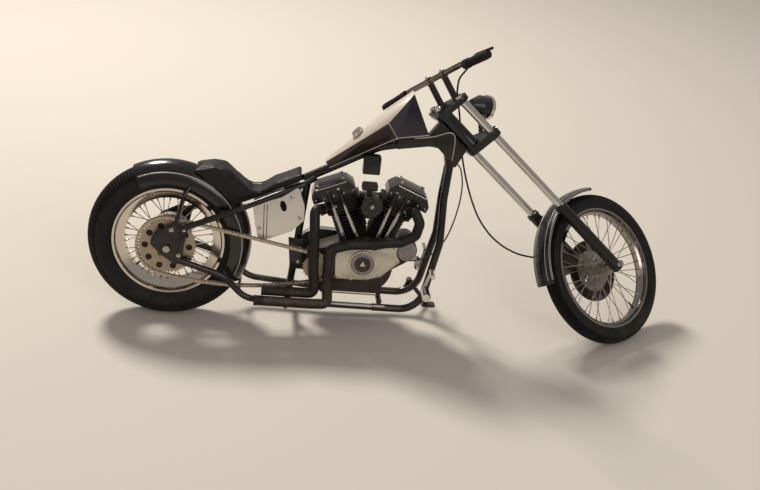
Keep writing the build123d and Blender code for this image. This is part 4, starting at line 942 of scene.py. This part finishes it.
def clamp_band(radius, width):
    """A band round a pipe, with its tightening ears."""
    bpy.ops.mesh.primitive_cylinder_add(vertices=40, radius=(radius + 2.2) * MM, depth=width * MM)
    band = bpy.context.object
    edit(band)
    pick_faces(band, lambda middle, normal: abs(normal.z) > 0.9)
    bpy.ops.mesh.inset(thickness=2 * MM, depth=0)
    pick_faces(band, lambda middle, normal: normal.y < -0.98 and abs(normal.z) < 0.1)
    bpy.ops.mesh.extrude_region_move(TRANSFORM_OT_translate={"value": (0, -5 * MM, 0)})
    leave_edit()
    bevelled(band, 0.8, 2, 40)
    return band


for name, start, end, surface in (
        ("front_port_band", (1020, -66, 566), (1031, -100, 583), "dark_nickel"),
        ("rear_port_band", (650, -70, 556), (632, -92, 561), "dark_nickel"),
        ("front_pipe_band", (880, -138, 440.5), (860, -138, 438), "pipe_black"),
        ("rear_pipe_band", (622.5, -138, 380), (623.5, -138, 360), "pipe_black"),
        ("front_tail_band", (520, -165, 152), (500, -165, 152), "pipe_black"),
        ("rear_tail_band", (520, -138, 190), (500, -138, 190), "pipe_black")):
    done(clamp_band(22, 16), name, surface, pose=along(BIKE, start, end))
tip_poses = [facing(BIKE, 391.5, -165, 152, (-1, 0, 0)), facing(BIKE, 421.5, -138, 190, (-1, 0, 0))]
copies(turned(22.8, 3, ((0, 7), (2.2, 0), (0.3, -8)), sides=40), tip_poses, "exhaust_tips", "pipe_black")
copies(turned(20.2, 2.2, ((4, 0.2),)), tip_poses, "exhaust_bores", "soot")

# Oil tank: filler cap, seams, level window and bolts
turned_piece("oil_filler_cap", 24, 5, ((1.5, 1.5), (0, 8), (3, 2), (12, 0.6)), 30,
             facing(BIKE, 505, -50, 624, (-0.42, 0, 0.91)), "chrome_parts")
for label, x_low, x_high in (("rear", 404, 398), ("front", 417, 411)):
    seam = [(x_low, -82.4, 398 + (x_low - 386) * 0.43), (x_high, -82.4, 562)]
    line_piece(f"oil_tank_seam_{label}", BIKE, seam, 1.6, "carb_dark", smooth=35, curved=False)
window = turned(13, 1.2, ((2, 0.6), (2, -0.9)), sides=24)
window.data.transform(Matrix.Diagonal((1, 1.9, 1, 1)))
done(window, "oil_level_window", "soot", pose=facing(BIKE, 479, -82, 560, roll=18))
bolts("oil_tank_bolts", BIKE, [(512, -82, 602), (552, -82, 512), (384, -82, 452)], across=12)

# Rear axle plates, sprocket and brake disc
plate_bolts = [(x, side * 128, z, (0, side, 0)) for side in (-1, 1) for x, z in ((18, 432), (70, 436), (52, 318))]
bolts("axle_plate_bolts", BIKE, plate_bolts, across=14, height=7)
turned_piece("sprocket_backing", 109, 2, ((4, 0.8), (26, 0), (3, -0.8)), 72, facing(REAR_WHEEL, 0, -89.6, 0),
             "pipe_black", "rear_wheel")
bolts("sprocket_bolts", REAR_WHEEL, round_places(0, -99, 0, 52, range(18, 378, 72)), 13, 7, "dark_nickel",
      body="rear_wheel")
bolts("disc_bolts", FRONT_WHEEL, round_places(0, 59, 0, 59, range(0, 360, 72), LEFT), height=5, body="front_wheel")


# Fender edges: rolled beads and painted lines

def wheel_arc(radius, first, last, y, count=28):
    """Points on a circle round a wheel's axle, in that wheel's own frame."""
    return round_places(0, y, 0, radius, [first + (last - first) * index / count for index in range(count + 1)])


for side, label in SIDES:
    line_piece(f"rear_fender_bead_{label}", REAR_WHEEL, wheel_arc(268.5, -28, 116, side * 72.6), 2.6, "fender_paint",
               sides=3)
    line_piece(f"rear_fender_stripe_{label}", REAR_WHEEL, wheel_arc(316.6, -24, 115, side * 65.7), 2.8,
               "stripe_silver")
    line_piece(f"front_fender_bead_{label}", FRONT_WHEEL, wheel_arc(357, 98, 192, side * 46.8), 2.4, "fender_paint",
               body="fork", sides=3)
    for radius, y, name in ((365.5, 48, "outer"), (358.5, 48, "inner"), (372.8, 30, "crown")):
        line_piece(f"front_fender_stripe_{name}_{label}", FRONT_WHEEL, wheel_arc(radius, 99, 190, side * y), 1.9,
                   "stripe_silver", "fork")

# Front end
LEGS = (-89, 89)
RISERS = (-48, 48)
copies(turned(19, 3, ((1.5, 1.5), (3, 0), (0, 4), (2, 2), (8, 0.6)), sides=24),
       [facing(FORK, 0, y, 1068, UP) for y in LEGS], "fork_caps", "chrome_parts", body="fork")
turned_piece("stem_cap", 16, 6, ((2, 1.5), (0, 3), (3, 2)), 24, facing(FORK, -50, 0, 1079, UP), "chrome_parts",
             body="fork")
copies(turned(28, 6, ((2, 2), (0, 8), (3, 2), (4, 0)), sides=40), [facing(FORK, 0, y, 384, UP) for y in LEGS],
       "slider_seals", "black_cast", body="fork")
bolts("clamp_pinch_bolts", FORK, [(29, y, s, (1, 0, 0)) for y in LEGS for s in (849, 1055)], 12, 8, "chrome_parts",
      "fork")
copies(turned(17, 3, ((1, 1), (0, 24), (1, 1)), sides=28), [facing(FORK, 56, y - 14.5, 1171.6, LEFT) for y in RISERS],
       "bar_clamps", "dark_nickel", "fork")
bolts("bar_clamp_bolts", FORK, [(57, y, 1187, (0.1, 0, 1)) for y in RISERS], 11, 7, "chrome_parts",
      "fork")

rib_poses = []
for side in (-1, 1):
    start, end = Vector((40, side * 232, 1169)), Vector((29, side * 360, 1168))
    rib_poses += [facing(FORK, *(start + (end - start) * (0.05 + 0.058 * index)), direction=end - start)
                  for index in range(15)]
rib = turned(17.4, 1.2, ((0.4, 1.0), (0.4, -0.2)), sides=28)
rib.data.transform(Matrix.Diagonal((1.07, 1.07, 1.9, 1)))
copies(rib, rib_poses, "grip_ribs", "grip_rubber", body="fork")
bolts("lever_pivots", FORK, [(60, side * 222, 1176, UP) for side in (-1, 1)], across=10, body="fork")

LAMP_AXIS = Vector((0.6097, 0, -0.7927))
LAMP_CENTRE = Vector((124, 0, 938))
glass = bpy.data.materials.new("lamp_glass")
glass.use_nodes = True
glass_shader = glass.node_tree.nodes["Principled BSDF"]
glass_shader.inputs["Base Color"].default_value = (0.93, 0.94, 0.95, 1)
glass_shader.inputs["Metallic"].default_value = 0
glass_shader.inputs["Transmission Weight"].default_value = 0.92
flutes = group_node(glass.node_tree, MOTTLE, Scale=40.0, Level=0.04, Spread=0.02)
feed(glass.node_tree, glass_shader.inputs["Roughness"], flutes.outputs["Value"])
finishes["lamp_glass"] = glass
turned_piece("headlight_lens", 45, 2, ((5, 3.2), (7, 3.0), (9, 2.4), (10, 1.4), (8, 0.5)), 48,
             facing(FORK, *(LAMP_CENTRE + LAMP_AXIS * 54.6), direction=LAMP_AXIS), "lamp_glass",
             "fork", smooth=60)
turned_piece("headlight_ring", 54.4, 4, ((1.0, 1.8), (0, 12), (2.6, 2.6), (4, 0), (1.5, -4)), 64,
             facing(FORK, *(LAMP_CENTRE + LAMP_AXIS * 38), direction=LAMP_AXIS), "chrome_parts", body="fork")

# Sliders: axle pinch bolts and brake caliper fasteners
bolts("slider_pinch_bolts", FORK, [(24, y, -6, (1, 0, 0)) for y in LEGS], body="fork")
bolts("caliper_bolts", FORK, [(-60, 88, s, LEFT) for s in (118, 172)], 12, 6, "dark_nickel", body="fork")

# Rubber sleeves on the pegs
sleeve_poses = [facing(BIKE, 1120, side * (136 + index * 9.6), 240, (0, side, 0))
                for side in (-1, 1) for index in range(9)]
copies(turned(17.6, 1.5, ((0.8, 1.2), (0, 2.2), (0.9, 1.0)), sides=28), sleeve_poses, "peg_rubber_ribs",
       "grip_rubber")

# Plate behind the gearbox, between the two chain runs
bpy.ops.mesh.primitive_plane_add(size=1)
mount_plate = bpy.context.object
mesh = edit(mount_plate, "VERT")
for vertex, (x, z) in zip(mesh.verts, ((528, 262), (600, 262), (512, 408), (592, 396))):
    vertex.co = place(BIKE, x, -44, z)
bmesh.update_edit_mesh(mount_plate.data)
leave_edit()
thicken = mount_plate.modifiers.new("plate", "SOLIDIFY")
thicken.thickness = 6 * MM
thicken.offset = 0
apply_modifiers(mount_plate)
edit(mount_plate)
outward_faces()
bevelled(mount_plate, 2)
done(mount_plate, "gearbox_plate", "rocker_black")
bolts("gearbox_plate_bolts", BIKE, [(566, -47, 356), (562, -47, 296)], across=13, height=7)


# Camera

AZIMUTH = math.radians(-6.2999)
ELEVATION = math.radians(26.197)
ROLL = math.radians(5.8662)
FOCAL_PIXELS = 1117.34
PICTURE_WIDTH = 760
SENSOR_WIDTH = 36
CAMERA_FROM_REAR_AXLE = Vector((0.43272, -4.39485, 2.19360))

lens_back = Vector((math.sin(AZIMUTH) * math.cos(ELEVATION), -math.cos(AZIMUTH) * math.cos(ELEVATION),
                    math.sin(ELEVATION)))
level_right = Vector((math.cos(AZIMUTH), math.sin(AZIMUTH), 0))
level_up = lens_back.cross(level_right)
picture_right = level_right * math.cos(ROLL) + level_up * math.sin(ROLL)
picture_up = level_up * math.cos(ROLL) - level_right * math.sin(ROLL)
bpy.ops.object.camera_add()
camera = bpy.context.object
camera.matrix_world = frame_matrix(picture_right, picture_up, lens_back, rear_axle + CAMERA_FROM_REAR_AXLE)
camera.data.sensor_width = SENSOR_WIDTH
camera.data.lens = FOCAL_PIXELS / PICTURE_WIDTH * SENSOR_WIDTH
scene.camera = camera


# Floor, backdrop and light

bpy.ops.mesh.primitive_plane_add(size=60, location=(0, 0, 0))
floor = bpy.context.object
floor.name = "floor"
ground = bpy.data.materials.new("pale_floor")
ground.use_nodes = True
ground_shader = ground.node_tree.nodes["Principled BSDF"]
ground_shader.inputs["Base Color"].default_value = (0.66, 0.60, 0.52, 1)
ground_shader.inputs["Roughness"].default_value = 0.9
floor.data.materials.append(ground)

world = bpy.data.worlds.new("open_sky")
scene.world = world
world.use_nodes = True
sky = world.node_tree.nodes["Background"]
sky.inputs["Color"].default_value = (0.92, 0.90, 0.87, 1)
sky.inputs["Strength"].default_value = 0.34


def soft_lamp(name, spot, size, watts, colour):
    """An area lamp aimed at the engine."""
    engine = Vector((0, 0, 0.5))
    bpy.ops.object.light_add(type="AREA", location=spot)
    lamp = bpy.context.object
    lamp.name = name
    lamp.data.shape = "DISK"
    lamp.data.size = size
    lamp.data.energy = watts
    lamp.data.color = colour
    lamp.rotation_euler = (engine - Vector(spot)).to_track_quat("-Z", "Y").to_euler()


soft_lamp("sun_side", (-3.4, 5.2, 8.0), 2.2, 900, (1.0, 0.96, 0.90))
soft_lamp("camera_side", (2.4, -6.5, 4.6), 4.0, 120, (0.98, 0.98, 1.0))

scene.view_settings.view_transform = "Standard"

low, high = cad_bounds
